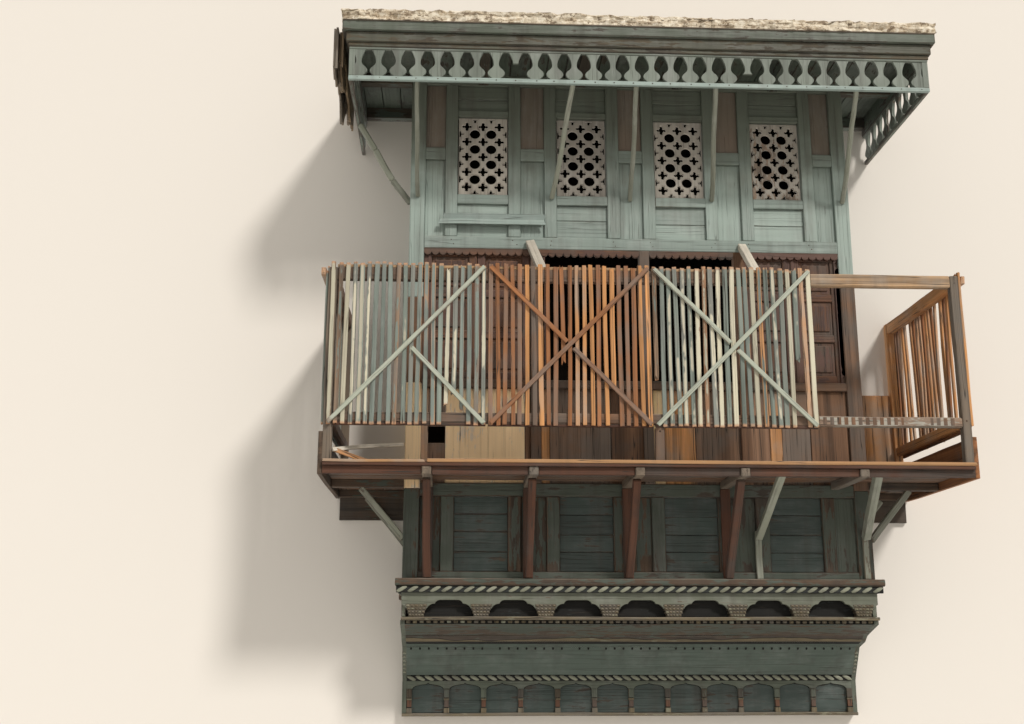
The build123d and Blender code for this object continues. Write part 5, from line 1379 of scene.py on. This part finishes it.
# %% Patched parapet
# For every bay from left to right: where each board starts along X, and which wood it is
PARAPET_PATCHES = (
    ((-1.120, 0), (-0.655, 3)),
    ((-0.560, 1), (-0.510, 2), (-0.330, 2), (-0.150, 3)),
    ((0.100, 0), (0.166, 1), (0.349, 2)),
    ((0.675, 2), (0.787, 1), (0.859, 2), (1.030, 3)),
)
# The missing patch of the first bay
PATCH_LEFT, PATCH_RIGHT = -1.218, -1.120
PATCH_BOTTOM, PATCH_TOP = 0.825, 0.925
BOARD_JOINT = 0.0015


def parapet():
    boards = Boards(72)
    parts = boxes("parapet_boards")
    bays = sorted((b for b in parts if b[1][0] - b[0][0] > NARROW_BAY), key=lambda b: b[0][0])
    sides = [b for b in parts if b[1][0] - b[0][0] <= NARROW_BAY]
    for (low, high), patches in zip(bays, PARAPET_PATCHES):
        ends = [x for x, _ in patches[1:]] + [high[0]]
        for (start, kind), end in zip(patches, ends):
            shift = boards.random.uniform(0, 0.003)
            boards.boxed((start + BOARD_JOINT, low[1] + shift, low[2]), (end - BOARD_JOINT, high[1], high[2]),
                         along=2, wear=boards.random.uniform(0.1, 0.35), bow=0.002, material=kind)
    low, high = bays[0]
    for a, b, kind in (
        (low, (PATCH_LEFT, high[1], high[2]), 1),
        ((PATCH_LEFT, low[1], low[2]), (PATCH_RIGHT, high[1], PATCH_BOTTOM), 2),
        ((PATCH_LEFT, low[1], PATCH_TOP), (PATCH_RIGHT, high[1], high[2]), 2),
    ):
        boards.boxed(a, b, along=2, wear=0.2, material=kind)
    for low, high in sides:
        planks(boards, low, high, 2, 4, 0.003, 0.001, wear=0.2, material=2)
    boards.piece("parapet_planks", [SUNLIT_RAW_BOARD, ORANGE_WOOD, PARAPET_BROWN, BARE_BROWN], "bare_brown",
                 ["parapet_boards"])


parapet()

# %% Shutters with raised fields
SHUTTER_FRAME = 0.048
SHUTTER_FIELDS = 3
SHUTTER_RIM = 0.022


def shutter(boards, low, high):
    """One leaf: two stiles, four rails and three sunk panels with a raised field."""
    size = high - low
    across = 0 if size[0] > size[1] else 1
    thin = 1 - across
    outward = -1 if thin == 1 or low[0] < 0 else 1
    front = high[thin] if outward > 0 else low[thin]

    def part(u0, u1, z0, z1, sink, thickness, chamfer=0.003, along=None):
        a, b = np.zeros(3), np.zeros(3)
        a[across], b[across] = u0, u1
        a[thin], b[thin] = sorted((front - outward * sink, front - outward * (sink + thickness)))
        a[2], b[2] = z0, z1
        boards.boxed(a, b, along=along, wear=boards.random.uniform(0, 0.2), chamfer=chamfer, bow=0.0006)

    left, right = low[across] + SHUTTER_FRAME, high[across] - SHUTTER_FRAME
    part(low[across], left, low[2], high[2], 0, 0.030)
    part(right, high[across], low[2], high[2], 0, 0.030)
    field = (size[2] - SHUTTER_FRAME * (SHUTTER_FIELDS + 1)) / SHUTTER_FIELDS
    rim = SHUTTER_RIM
    for i in range(SHUTTER_FIELDS + 1):
        z = low[2] + i * (field + SHUTTER_FRAME)
        part(left, right, z, z + SHUTTER_FRAME, 0.001, 0.028, along=across)
        if i < SHUTTER_FIELDS:
            z += SHUTTER_FRAME
            part(left, right, z, z + field, 0.012, 0.014, along=2)
            part(left + rim, right - rim, z + rim, z + field - rim, 0.004, 0.010, 0.006, along=2)


leaves = Boards(73)
for low, high in boxes("shutters"):
    shutter(leaves, low, high)
leaves.piece("shutter_leaves", [SHUTTER_BROWN], "bare_brown", ["shutters"])

# %% Scalloped trims
SCALLOP_PITCH = 0.045
SCALLOP_DROP = 0.023
LOBE_POINTS = 7
# Place along X of an upright trim's straight edge, and the way its lobes look
UPRIGHT_TRIMS = ((-0.560, 1), (1.260, -1))
UPRIGHT_TRIM_WIDTH = 0.028


def scallops(start, end, level, edge):
    """A band between level and edge whose lower side is a row of round lobes."""
    count = round((end - start) / SCALLOP_PITCH)
    step = (end - start) / count
    lobes = []
    for i in range(count):
        for k in range(LOBE_POINTS):
            angle = math.pi * k / (LOBE_POINTS - 1)
            lobes.append((start + step * (i + 0.5 - 0.5 * math.cos(angle)),
                          edge + SCALLOP_DROP * (1 - 0.95 * math.sin(angle))))
    return lobes + [(end, level), (start, level)]


trims = Boards(74)
for low, high in boxes("scalloped_trim"):
    sawn(trims, scallops(low[0], high[0], high[2], low[2]), high[1], low[1], upright=False,
         wear=trims.random.uniform(0, 0.3))
trim_low, trim_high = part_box("scalloped_trim")
opening_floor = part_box("shutters")[0].z
for x, side in UPRIGHT_TRIMS:
    line = scallops(opening_floor, trim_low.z, 0.0, UPRIGHT_TRIM_WIDTH - SCALLOP_DROP)
    line = [(x + side * (UPRIGHT_TRIM_WIDTH - v), z) for z, v in line]
    sawn(trims, line if side < 0 else line[::-1], trim_high.y, trim_high.y - 0.012)
trims.piece("scalloped_trim_boards", [SHUTTER_BROWN], "bare_brown", ["scalloped_trim"])

# %% Loose batten, sill beam, floor and wall boards
batten = Boards(75)
low, high = boxes("loose_batten")[0]
under = low[2] + 0.034
middle = (low[1] + high[1]) / 2
batten.boxed((low[0] + 0.04, middle, under), high, wear=0.05, ragged=0.02, bow=0.002)
batten.boxed((low[0], low[1], low[2] + 0.006), (high[0] - 0.004, middle, under + 0.004), wear=0.15,
             ragged=0.05, bow=0.003)
batten.piece("loose_batten_strips", [PALE_BLUE], "orange_wood", ["loose_batten"])
timbers("sill_beam_timber", "sill_beam", 76, "bare_brown", [BARE_BROWN], chamfer=0.005)
wall = Boards(77)
for low, high in boxes("wall_boards"):
    wall.boxed(low, high, along=2, wear=0.3, bow=0.003, ragged=0.008)
wall.piece("wall_board_planks", [ORANGE_WOOD], "orange_wood", ["wall_boards"])

# %% [markdown]
# ## Mouldings that run along the base
# The base comes in towards the wall in steps: a nosing, a rope moulding, a board with flat cusped
# arches over dark niches, a ledge, teeth, a sloping board, a broken one, a hollow board, another
# rope and an arcade of small ogee arches. Most of these are one section run from end to end. The
# section is read from the solid's own end, and the board gets a slight wave along its length.

# %% Run a section along X
RUN_STEP = 0.08


def end_section(node):
    """The (y, z) outline of the first solid's left end, anticlockwise about its middle."""
    corners = solids(node)[0]
    end = corners[corners[:, 0] < corners[:, 0].min() + WELD][:, 1:]
    about = end - (end.min(0) + end.max(0)) / 2
    return end[np.argsort(np.arctan2(about[:, 1], about[:, 0]))]


def run_along(boards, section, left, right, wave=0.0015, wear=0.0, material=0):
    """A moulding with that section between two places along X."""
    section = np.asarray(section, float)
    count = len(section)
    xs = np.linspace(left, right, max(3, int((right - left) / RUN_STEP) + 1))
    phase = boards.random.random(2) * 6.3
    points, place = [], []
    middle = section.mean(0)
    for x in xs:
        share = (x - left) / (right - left)
        out = abs(wave * math.sin(7.0 * share + phase[0]) * math.sin(math.pi * share))
        lift = wave * 0.5 * math.sin(11 * share + phase[1])
        for y, z in section:
            points.append((x, y + out, z + lift))
            place.append((x - (left + right) / 2, z - middle[1], y - middle[0]))
    faces = [list(range(count)), [len(points) - 1 - i for i in range(count)]] + tube(len(xs), count)
    boards.add(np.array(points), faces, np.array(place), FAR, wear, material)


def rounded(low, high, radius):
    """Section of a board with a rounded front, as (y, z) points."""
    y0, z0, y1, z1 = low[1], low[2], high[1], high[2]
    angles = [math.pi / 8 * k for k in range(5)]
    arc = [(y0 + radius * (1 - math.sin(a)), z0 + radius * (1 - math.cos(a))) for a in angles]
    return [(y1, z0)] + arc + [(y, z0 + z1 - z) for y, z in reversed(arc)] + [(y1, z1)]


def run_piece(name, node, seed, slot, material, radius=None, **looks):
    """One moulding for a node, with the solid's own section or, given a radius, a rounded front."""
    boards = Boards(seed)
    low, high = boxes(node)[0]
    section = rounded(low, high, radius) if radius else end_section(node)
    run_along(boards, section, low[0], high[0], **looks)
    return boards.piece(name, [material], slot, [node])


# %% [markdown]
# ## Rope mouldings
# A rope moulding is a half-round bead carved into strands that wind around it. From the front each
# turn of a strand looks like a leaning lozenge with a dark cut on both sides. So each turn is one
# closed pillow, bent round the bead, and they all lie on a near-black core, painted shade for the
# cuts. The upper rope leans one way and the lower one the other way.

# %% Carved ropes
ROPE_ROWS, ROPE_COLUMNS = 9, 7
STRAND_REACH = math.radians(78)
STRAND_HALF = 0.0185
STRAND_LEAN = 0.36
# Length of one turn; its sign says which way the strands lean
UPPER_LAY, LOWER_LAY = 0.062, -0.053


def side_of(first, second):
    """Positive where the second of two directions on the ground lies left of the first."""
    return first[0] * second[1] - first[1] * second[0]


def strand(boards, centre, along, out, level, radius, lean, wear):
    """One strand's turn: a closed pillow bent round the bead, leaning along it as it rises."""
    rows, columns = ROPE_ROWS, ROPE_COLUMNS
    points, place = [], []
    for inner in (False, True):
        for r in range(rows):
            rise = 2 * r / (rows - 1) - 1
            angle = rise * STRAND_REACH
            half = STRAND_HALF * math.sqrt(max(0.12, 1 - 0.75 * rise * rise))
            for c in range(columns):
                across = 2 * c / (columns - 1) - 1
                reach = 0.60 if inner else 0.74 + 0.26 * math.sqrt(1 - across * across)
                s = lean * rise + half * across
                x, y = centre + along * s + out * (reach * radius * math.cos(angle))
                z = level + reach * radius * math.sin(angle)
                points.append((x, y, z))
                place.append((s, z - level, reach * radius))
    size = rows * columns
    faces = []
    for r in range(rows - 1):
        for c in range(columns - 1):
            a = r * columns + c
            quad = [a, a + 1, a + columns + 1, a + columns]
            faces += [quad, [size + v for v in reversed(quad)]]
    edge = list(range(columns)) + [r * columns + columns - 1 for r in range(1, rows)]
    edge += [size - 1 - c for c in range(1, columns)] + [r * columns for r in range(rows - 2, 0, -1)]
    for a, b in zip(edge, edge[1:] + edge[:1]):
        faces.append([b, a, size + a, size + b])
    if side_of(along, out) > 0:
        faces = [face[::-1] for face in faces]
    boards.add(np.array(points), faces, np.array(place), FAR, wear, 0)


def rope(boards, start, end, axis_level, radius, out, lay):
    """A rope from start to end, two (x, y) places, its round side looking along out."""
    start, end, out = (np.asarray(v, float) for v in (start, end, out))
    length = np.linalg.norm(end - start)
    along = (end - start) / length
    if side_of(along, out) > 0:
        start, along = end, -along
    count = max(1, int(length / abs(lay)))
    for k in range(count):
        centre = start + along * (length * (k + 0.5) / count)
        wear = boards.random.uniform(0.0, 0.15)
        strand(boards, centre, along, out, axis_level, radius, lay * STRAND_LEAN, wear)


ROPE_END = 0.004
CORNER_START = 0.040
ropes = Boards(81)
low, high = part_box("rope_upper")
level, radius = (low.z + high.z) / 2, (high.z - low.z) / 2
reach = low.y + radius
box_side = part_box("frieze")[1].x
left, right, start = low.x + radius, high.x - radius, low.y + CORNER_START
for a, b, out in (
    ((low.x + ROPE_END, reach), (high.x - ROPE_END, reach), (0, -1)),
    ((right, start), (right, high.y), (1, 0)),
    ((left, high.y), (left, start), (-1, 0)),
):
    rope(ropes, a, b, level, radius, out, UPPER_LAY)
# The near-black core behind the strands is painted shade in the cuts between them
for a, b in (((low.x + ROPE_END, reach - 0.008, low.z), (high.x - ROPE_END, reach + 0.015, high.z)),
             ((box_side, low.y + 0.034, low.z), (right, high.y, high.z)),
             ((left, low.y + 0.034, low.z), (-box_side, high.y, high.z))):
    ropes.boxed(a, b, chamfer=0.002, bow=0.0, material=1)
ropes.piece("rope_upper_carving", [STRAND_PALE, PAINTED_SHADE], "dark_teal", ["rope_upper"])

lower_rope = Boards(82)
low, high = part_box("rope_lower")
level, radius = (low.z + high.z) / 2, (high.z - low.z) / 2
axis = low.y + radius
rope(lower_rope, (low.x, axis), (high.x, axis), level, radius, (0, -1), LOWER_LAY)
# Near-black core: painted shade in the cuts between the strands
lower_rope.boxed((low.x, low.y + radius * 0.6, low.z), high, chamfer=0.002, bow=0.0, material=1)
lower_rope.piece("rope_lower_carving", [STRAND_PALE, PAINTED_SHADE], "dark_teal", ["rope_lower"])

# %% [markdown]
# ## Frieze, niches and ledges
# The frieze board hangs down between the niches in cusps, each standing on a small carved corbel. A
# row of notched teeth makes the corbels look knitted. The niches behind are near black: painted shade
# of their depth over sooty paint.

# %% Cusped frieze
# One side of a cusp: share of its flare beyond the corbel, share of its drop
CUSP_SIDE = (
    (1.0, 0.0), (0.86, 0.05), (0.70, 0.22), (0.62, 0.44), (0.50, 0.46), (0.36, 0.50), (0.18, 0.66),
    (0.04, 0.86), (0.0, 1.0),
)
CUSP_FLARE = 0.070
CUSP_DROP = 0.046

corbel_boxes = sorted(boxes("frieze_corbels"), key=lambda b: b[0][0])
frieze_boards = Boards(83)
frieze_parts = sorted(boxes("frieze"), key=lambda b: b[0][0] - b[1][0])
(front_low, front_high), frieze_sides = frieze_parts[0], frieze_parts[1:]
corbel_top = corbel_boxes[0][1][2]
band = corbel_top + CUSP_DROP
outline = [(front_high[0], front_high[2]), (front_low[0], front_high[2])]
for low, high in corbel_boxes:
    left = [(low[0] - CUSP_FLARE * x, band - t * CUSP_DROP) for x, t in CUSP_SIDE]
    right = [(high[0] + CUSP_FLARE * x, band - t * CUSP_DROP) for x, t in reversed(CUSP_SIDE)]
    outline += [(max(front_low[0], min(front_high[0], x)), z) for x, z in left + right]
sawn(frieze_boards, outline, front_high[1], front_low[1], upright=False, wear=0.1)
for low, high in frieze_sides:
    planks(frieze_boards, low, high, 1, 2, 0.002, 0.001, wear=0.1)
frieze_boards.piece("frieze_cusp_board", [FRIEZE_GREEN], "dark_teal", ["frieze"])


# %% Carved corbels, niche wall, nosing and ledges
def tooth(boards, centre, width, height, depth, wear=0.3, material=0):
    """A small four-sided point, its base at centre, looking out from the wall."""
    x, y, z = centre
    points = np.array([
        (x - width / 2, y, z - height / 2), (x + width / 2, y, z - height / 2),
        (x + width / 2, y, z + height / 2), (x - width / 2, y, z + height / 2), (x, y - depth, z),
    ])
    faces = [[3, 2, 1, 0], [0, 1, 4], [1, 2, 4], [2, 3, 4], [3, 0, 4]]
    boards.add(points, faces, points - np.array(centre), FAR, wear, material)


CORBEL_ROWS, CORBEL_TEETH = 4, 5
CORBEL_HEIGHT = 0.070
CORBEL_INSET = 0.0055
corbels = Boards(84)
for low, high in corbel_boxes:
    row = CORBEL_HEIGHT / CORBEL_ROWS
    for r in range(CORBEL_ROWS):
        inset = CORBEL_INSET * (CORBEL_ROWS - 1 - r)
        span = high[0] - low[0] - 2 * inset
        corbels.boxed((low[0] + inset, low[1] + 0.0075, low[2] + row * r),
                      (high[0] - inset, high[1], low[2] + row * (r + 1)), wear=0.2, bow=0, chamfer=0.002)
        for k in range(CORBEL_TEETH):
            x = low[0] + inset + span * (k + 0.5) / CORBEL_TEETH
            tooth(corbels, (x, low[1] + 0.009, low[2] + row * (r + 0.5)), span / CORBEL_TEETH * 0.86,
                  row * 0.60, 0.009, wear=corbels.random.uniform(0, 0.7), material=1)
corbels.piece("carved_corbels", [FASCIA_BROWN, CARVED_PALE], "bare_brown", ["frieze_corbels"])
# Painted shade: the niche wall is near black for the depth of the niches
timbers("niche_wall_boards", "niche_wall", 85, "dark_teal", [PAINTED_SHADE])
run_piece("box_floor_nosing", "box_floor", 86, "dark_teal", DARK_TEAL, 0.016, wave=0.002, wear=0.15)
run_piece("base_ledge_board", "base_ledge", 87, "bare_brown", CARVED_PALE, 0.007, wave=0.003, wear=0.2)
run_piece("bottom_ledge_board", "bottom_ledge", 88, "bare_brown", CARVED_PALE, 0.007, wave=0.003, wear=0.3)

# %% [markdown]
# ## Teeth, slope, broken board and hollow board
# Under the ledge runs a row of small teeth, and then a plain sloping board. The next board has broken
# along its grain: its lower edge wanders and pieces have come off. A row of small near-black blocks,
# painted shade of the notches between worn scallops, hangs over the top of the wide hollow board,
# which has one groove near its foot, drawn as a near-black strip of painted shade.

# %% Dentils and sloping boards
DENTIL_PITCH = 0.038
DENTIL_HALF = 0.012
DENTIL_DEPTH = 0.010
teeth = Boards(91)
low, high = boxes("dentil_strip")[0]
# The strip behind the teeth is near black: painted shade between them
teeth.boxed((low[0], low[1] + DENTIL_DEPTH, low[2]), high, wear=0.2, bow=0, material=2)
count = round((high[0] - low[0]) / DENTIL_PITCH)
for k in range(count):
    x = low[0] + (high[0] - low[0]) * (k + 0.5) / count
    foot = low[2] + 0.003 + teeth.random.uniform(0, 0.003)
    teeth.boxed((x - DENTIL_HALF, low[1], foot), (x + DENTIL_HALF, low[1] + DENTIL_DEPTH, high[2] - 0.002),
                along=2, wear=teeth.random.uniform(0.1, 0.9), bow=0, chamfer=0.004, material=k % 2)
teeth.piece("dentil_teeth", [STRAND_PALE, CARVED_PALE, PAINTED_SHADE], "dark_teal", ["dentil_strip"])
run_piece("slope_plank", "slope_board", 92, "dark_teal", DARK_TEAL, wave=0.002, wear=0.05)

# %% Dark gap over the hollow board
# The gap is a near-black board: painted shade of the deep gap. The hollow board's own top edge covers its
# lower half.
GAP_SHARE = 0.42
LIP_OUT = 0.006
LIP_DEPTH = 0.02


def shadow_gap():
    boards = Boards(93)
    section = end_section("shadow_board")
    low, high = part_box("shadow_board")
    run_along(boards, section, low.x, high.x, wave=0.0, wear=0.3)
    head = section[np.argmin(section[:, 0] - section[:, 1])]
    front = section[section[:, 1] < low.z + WELD]
    foot = front[np.argmin(front[:, 0])]
    start = head + (foot - head) * GAP_SHARE
    out, back = np.array((-LIP_OUT, 0.0)), np.array((LIP_DEPTH, 0.0))
    lip = [foot + back, foot + out, start + out, start + back]
    run_along(boards, lip, low.x, high.x, wave=0.0, wear=0.1, material=1)
    boards.piece("shadow_plank", [PAINTED_SHADE, COVE_GREEN], "dark_teal", ["shadow_board"])


shadow_gap()

# %% The broken board
BROKEN_STEP = 0.02
LEAST_LEFT, MOST_LEFT = 0.10, 0.96
# Two layers of slivers: how much longer, how far out, and the material. The longer, near-black layer shows
# under the other as a painted shadow line.
SLIVER_LAYERS = ((0.10, 0.003, 2), (0.0, 0.007, 0))


def share_left(x):
    """The share of the board's height that is left at a place along X."""
    slow, quick = noise.noise(Vector((x * 1.7, 3.0, 0.0))), noise.noise(Vector((x * 9.0, 5.0, 0)))
    return min(MOST_LEFT, max(LEAST_LEFT, 0.50 + 0.55 * slow + 0.22 * quick))


def broken_board():
    """Slivers along the slope whose lower edge wanders, over the plain board behind."""
    boards = Boards(94)
    section = end_section("broken_board")
    low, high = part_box("broken_board")
    run_along(boards, section, low.x, high.x, wave=0.002, wear=0.3, material=1)
    head_y, head_z = low.y, high.z
    foot_y = section[section[:, 1] < low.z + WELD][:, 0].min()
    xs = np.arange(low.x, high.x, BROKEN_STEP)
    shares = [share_left(x) for x in xs]
    for longer, out, kind in SLIVER_LAYERS:
        points, place = [], []
        for x, share in zip(xs, shares):
            share = min(1.0, share + longer)
            y = head_y + (foot_y - head_y) * share
            z = head_z + (low.z - head_z) * share
            for v, w in ((head_y + 0.012, head_z), (head_y, head_z - 0.001), (y - out, z),
                         (y + 0.016, z + 0.002)):
                points.append((x, v, w))
                place.append((x, w - head_z, v - head_y))
        faces = [[0, 1, 2, 3], [len(points) - 1 - i for i in range(4)]] + tube(len(xs), 4)
        boards.add(np.array(points), faces, np.array(place), FAR, 0.2, kind)
    boards.piece("broken_plank", [DARK_TEAL, CARVED_PALE, PAINTED_SHADE], "dark_teal", ["broken_board"])


broken_board()

# %% The hollow board, the painted shade of its notches and its groove
GROOVE_LEVEL = -0.449
GROOVE_HALF = 0.0015
NOTCH_PITCH = 0.052
NOTCH_GONE = 0.12
cove = Boards(95)
section = end_section("cove_board")
low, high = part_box("cove_board")
run_along(cove, section, low.x, high.x)
# Near-black blocks over the top edge: painted shade of the notches between the scallops
for k in range(round((high.x - low.x) / NOTCH_PITCH)):
    x = low.x + (k + 0.5) * NOTCH_PITCH
    worn = cove.random.uniform(0.2, 1.0)
    if cove.random.random() < NOTCH_GONE:
        continue
    cove.boxed((x - 0.005, low.y - 0.001, high.z - 0.016), (x + 0.005, low.y + 0.014, high.z - 0.002),
               along=2, wear=worn, chamfer=0.003, bow=0, material=1)
# The groove is a near-black strip just before the face: painted shade of a groove
face = section[np.argsort(section[:, 1])]
face = face[face[:, 0] < (low.y + high.y) / 2 + 0.05]
front = float(np.interp(GROOVE_LEVEL, face[:, 1], face[:, 0])) - 0.0005
top, bottom = GROOVE_LEVEL + GROOVE_HALF, GROOVE_LEVEL - GROOVE_HALF
groove = [(front + 0.006, top), (front, top), (front, bottom), (front + 0.006, bottom)]
run_along(cove, groove, low.x, high.x, wave=0.0, material=1)
cove.piece("cove_plank", [COVE_GREEN, PAINTED_SHADE], "dark_teal", ["cove_board"])

# %% [markdown]
# ## Arcade
# At the foot stands an arcade of small ogee arches on banded pilasters, before a plain board. The
# arches are sawn from one board, so one outline with all their curves is enough, and the pilasters
# are short stacks of blocks: a foot, a band, a thinner shaft, a band and a head.

# %% Ogee arches
# Right half of an arch: share of half the span, share of the rise
OGEE_HALF = (
    (1.0, 0.0), (0.97, 0.17), (0.90, 0.34), (0.78, 0.49), (0.62, 0.60), (0.46, 0.67),
    (0.30, 0.72), (0.16, 0.77), (0.07, 0.85), (0.0, 1.0),
)
ARCADE_RISE = 0.036
# Drop of the near-black copy behind the arches: a painted shadow line along each arch
ARCADE_SHADOW_LINE = 0.005


def arcade():
    boards = Boards(96)
    low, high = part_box("arcade_arches")
    pilasters = sorted(boxes("arcade_pilasters"), key=lambda b: b[0][0])
    # A green arch board, and behind it a near-black copy with slightly smaller arches: painted shadow along
    # each arch
    layers = ((0.0, low.y, high.y - ARCADE_SHADOW_LINE, 0), (ARCADE_SHADOW_LINE, high.y - ARCADE_SHADOW_LINE, high.y, 1))
    for drop, front, back, kind in layers:
        outline = [(high.x, high.z), (low.x, high.z), (low.x, low.z)]
        rise = ARCADE_RISE - drop
        for (_, before), (after, _) in zip(pilasters[:-1], pilasters[1:]):
            middle, half = (before[0] + after[0]) / 2, (after[0] - before[0]) / 2 - drop
            outline += [(middle - x * half, low.z + t * rise) for x, t in OGEE_HALF]
            outline += [(middle + x * half, low.z + t * rise) for x, t in reversed(OGEE_HALF[:-1])]
        outline.append((high.x, low.z))
        sawn(boards, outline, back, front, upright=False, wear=0.1, material=kind)
    boards.piece("arcade_arch_board", [ARCH_GREEN, PAINTED_SHADE], "dark_teal", ["arcade_arches"])


arcade()

# %% Banded pilasters, back board and end boards
# Bands of a pilaster from its foot up: share of its height, inset at the sides, material. The two thin inset
# bands of material 3 are near black: painted shade in their grooves.
PILASTER_BANDS = (
    (0.00, 0.001, 1), (0.21, 0.005, 3), (0.25, 0.004, 2), (0.54, 0.001, 1), (0.61, 0.005, 3),
    (0.64, 0.001, 0), (1.00, 0.0, 0),
)


def pilasters():
    boards = Boards(97)
    for low, high in boxes("arcade_pilasters"):
        height = high[2] - low[2]
        for (start, inset, wood), (end, _, _) in zip(PILASTER_BANDS[:-1], PILASTER_BANDS[1:]):
            boards.boxed((low[0] + inset, low[1] + inset, low[2] + start * height),
                         (high[0] - inset, high[1], low[2] + end * height), along=2, bow=0, chamfer=0.0015,
                         wear=boards.random.uniform(0, 0.4), material=wood)
    boards.piece("arcade_pilaster_blocks", [ARCH_GREEN, CARVED_PALE, SHUTTER_BROWN, PAINTED_SHADE],
                 "bare_brown", ["arcade_pilasters"])


pilasters()
timbers("arcade_back_board", "arcade_back", 98, "dark_teal", [TEAL_PANEL], wear=0.05)

# The end boards have a row of small teeth where the hollow board ends
ZIGZAG_PITCH = 0.022
ZIGZAG_LOW, ZIGZAG_HIGH = -0.475, -0.330
ends = Boards(99)
for corners in solids("side_boards"):
    low, high = corners.min(0), corners.max(0)
    front = sorted({(round(y, 5), round(z, 5)) for _, y, z in corners if y < -0.001}, key=lambda p: p[1])
    profile = [(0.0, low[2])] + front + [(0.0, high[2])]
    back, face = (low[0], high[0]) if low[0] > 0 else (high[0], low[0])
    sawn(ends, profile, back, face, side=True, wear=0.2)
    ys, zs = zip(*front)
    for k in range(int((ZIGZAG_HIGH - ZIGZAG_LOW) / ZIGZAG_PITCH)):
        z = ZIGZAG_LOW + (k + 0.5) * ZIGZAG_PITCH
        y = float(np.interp(z, zs, ys))
        if low[2] < z < high[2]:
            tooth(ends, ((low[0] + high[0]) / 2, y + 0.003, z), 0.018, ZIGZAG_PITCH * 0.7, 0.009, wear=0.2,
                  material=1)
ends.piece("base_end_boards", [ARCH_GREEN, STRAND_PALE], "dark_teal", ["side_boards"])

# %% [markdown]
# ## Nails and splinters
# The heads of hand-made nails show as dark dots along the transom, the valance's rail and the front
# posts. Each is a low cone with six sides, sunk a little into the wood. Two thin sticks lean in the
# gap at the balcony's left end: a pale one against the box, and an orange one down on the floor.

# %% Nail heads
NAIL_SIDES = 6
NAIL_HEIGHT = 0.003
TRANSOM_LEVEL = 2.04
TRANSOM_LENGTH = 2.0
TALL_STILES_TO = 2.9
BOX_FRONT = -0.5
BALCONY_FRONT = -1.0


def nail(boards, x, y, z, radius):
    """A nail head on a face that looks along -Y."""
    rim = [(u, y + 0.001, v) for u, v in ring(x, z, radius, NAIL_SIDES)]
    points = np.array(rim + [(x, y - NAIL_HEIGHT, z)])
    faces = [list(range(NAIL_SIDES))[::-1]]
    faces += [[i, (i + 1) % NAIL_SIDES, NAIL_SIDES] for i in range(NAIL_SIDES)]
    boards.add(points, faces, points - (x, y, z), FAR, 0.3, 0)


nails = Boards(101)
long_rails = [b for b in boxes("frame_rails") if b[1][0] - b[0][0] > TRANSOM_LENGTH]
transom_low, transom_high = min(long_rails, key=lambda b: abs((b[0][2] + b[1][2]) / 2 - TRANSOM_LEVEL))
for low, high in boxes("frame_stiles"):
    if high[2] > TALL_STILES_TO and low[1] < BOX_FRONT:
        for share in (0.35, 0.70):
            middle = (low[0] + high[0]) / 2 + nails.random.uniform(-0.02, 0.02)
            level = transom_low[2] + share * (transom_high[2] - transom_low[2])
            nail(nails, middle, transom_low[1], level, 0.0048)
low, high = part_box("valance_front")
for i in range(round((high.x - low.x) / VALANCE_PITCH)):
    x = low.x + (i + 0.5) * VALANCE_PITCH + nails.random.uniform(-0.01, 0.01)
    nail(nails, x, low.y, low.z + VALANCE_RAIL * 0.55, 0.0042)
for low, high in boxes("balcony_posts"):
    if low[1] < BALCONY_FRONT:
        for level in (0.88, 1.67):
            nail(nails, (low[0] + high[0]) / 2, low[1], min(level, high[2] - 0.02), 0.006)
nails.piece("nail_heads", [NAIL_RUST], "bare_brown")

# %% Leaning sticks
# Start, end, width, wear and bow of each
STICKS = (
    ((-1.714, -1.030, 0.700), (-1.353, -0.520, 0.815), 0.022, 0.0, 0.006),
    ((-1.714, -1.010, 0.705), (-1.530, -0.950, 0.648), 0.024, 0.2, 0.004),
)
leaning = Boards(102)
for material, (start, end, width, wear, bow) in enumerate(STICKS):
    leaning.stick(start, end, width, 0.012, wear=wear, bow=bow, chamfer=0.002, material=material)
leaning.piece("leaning_sticks", [STAY_CREAM, ORANGE_WOOD], "orange_wood")
print("transom from", [round(v, 3) for v in transom_low])
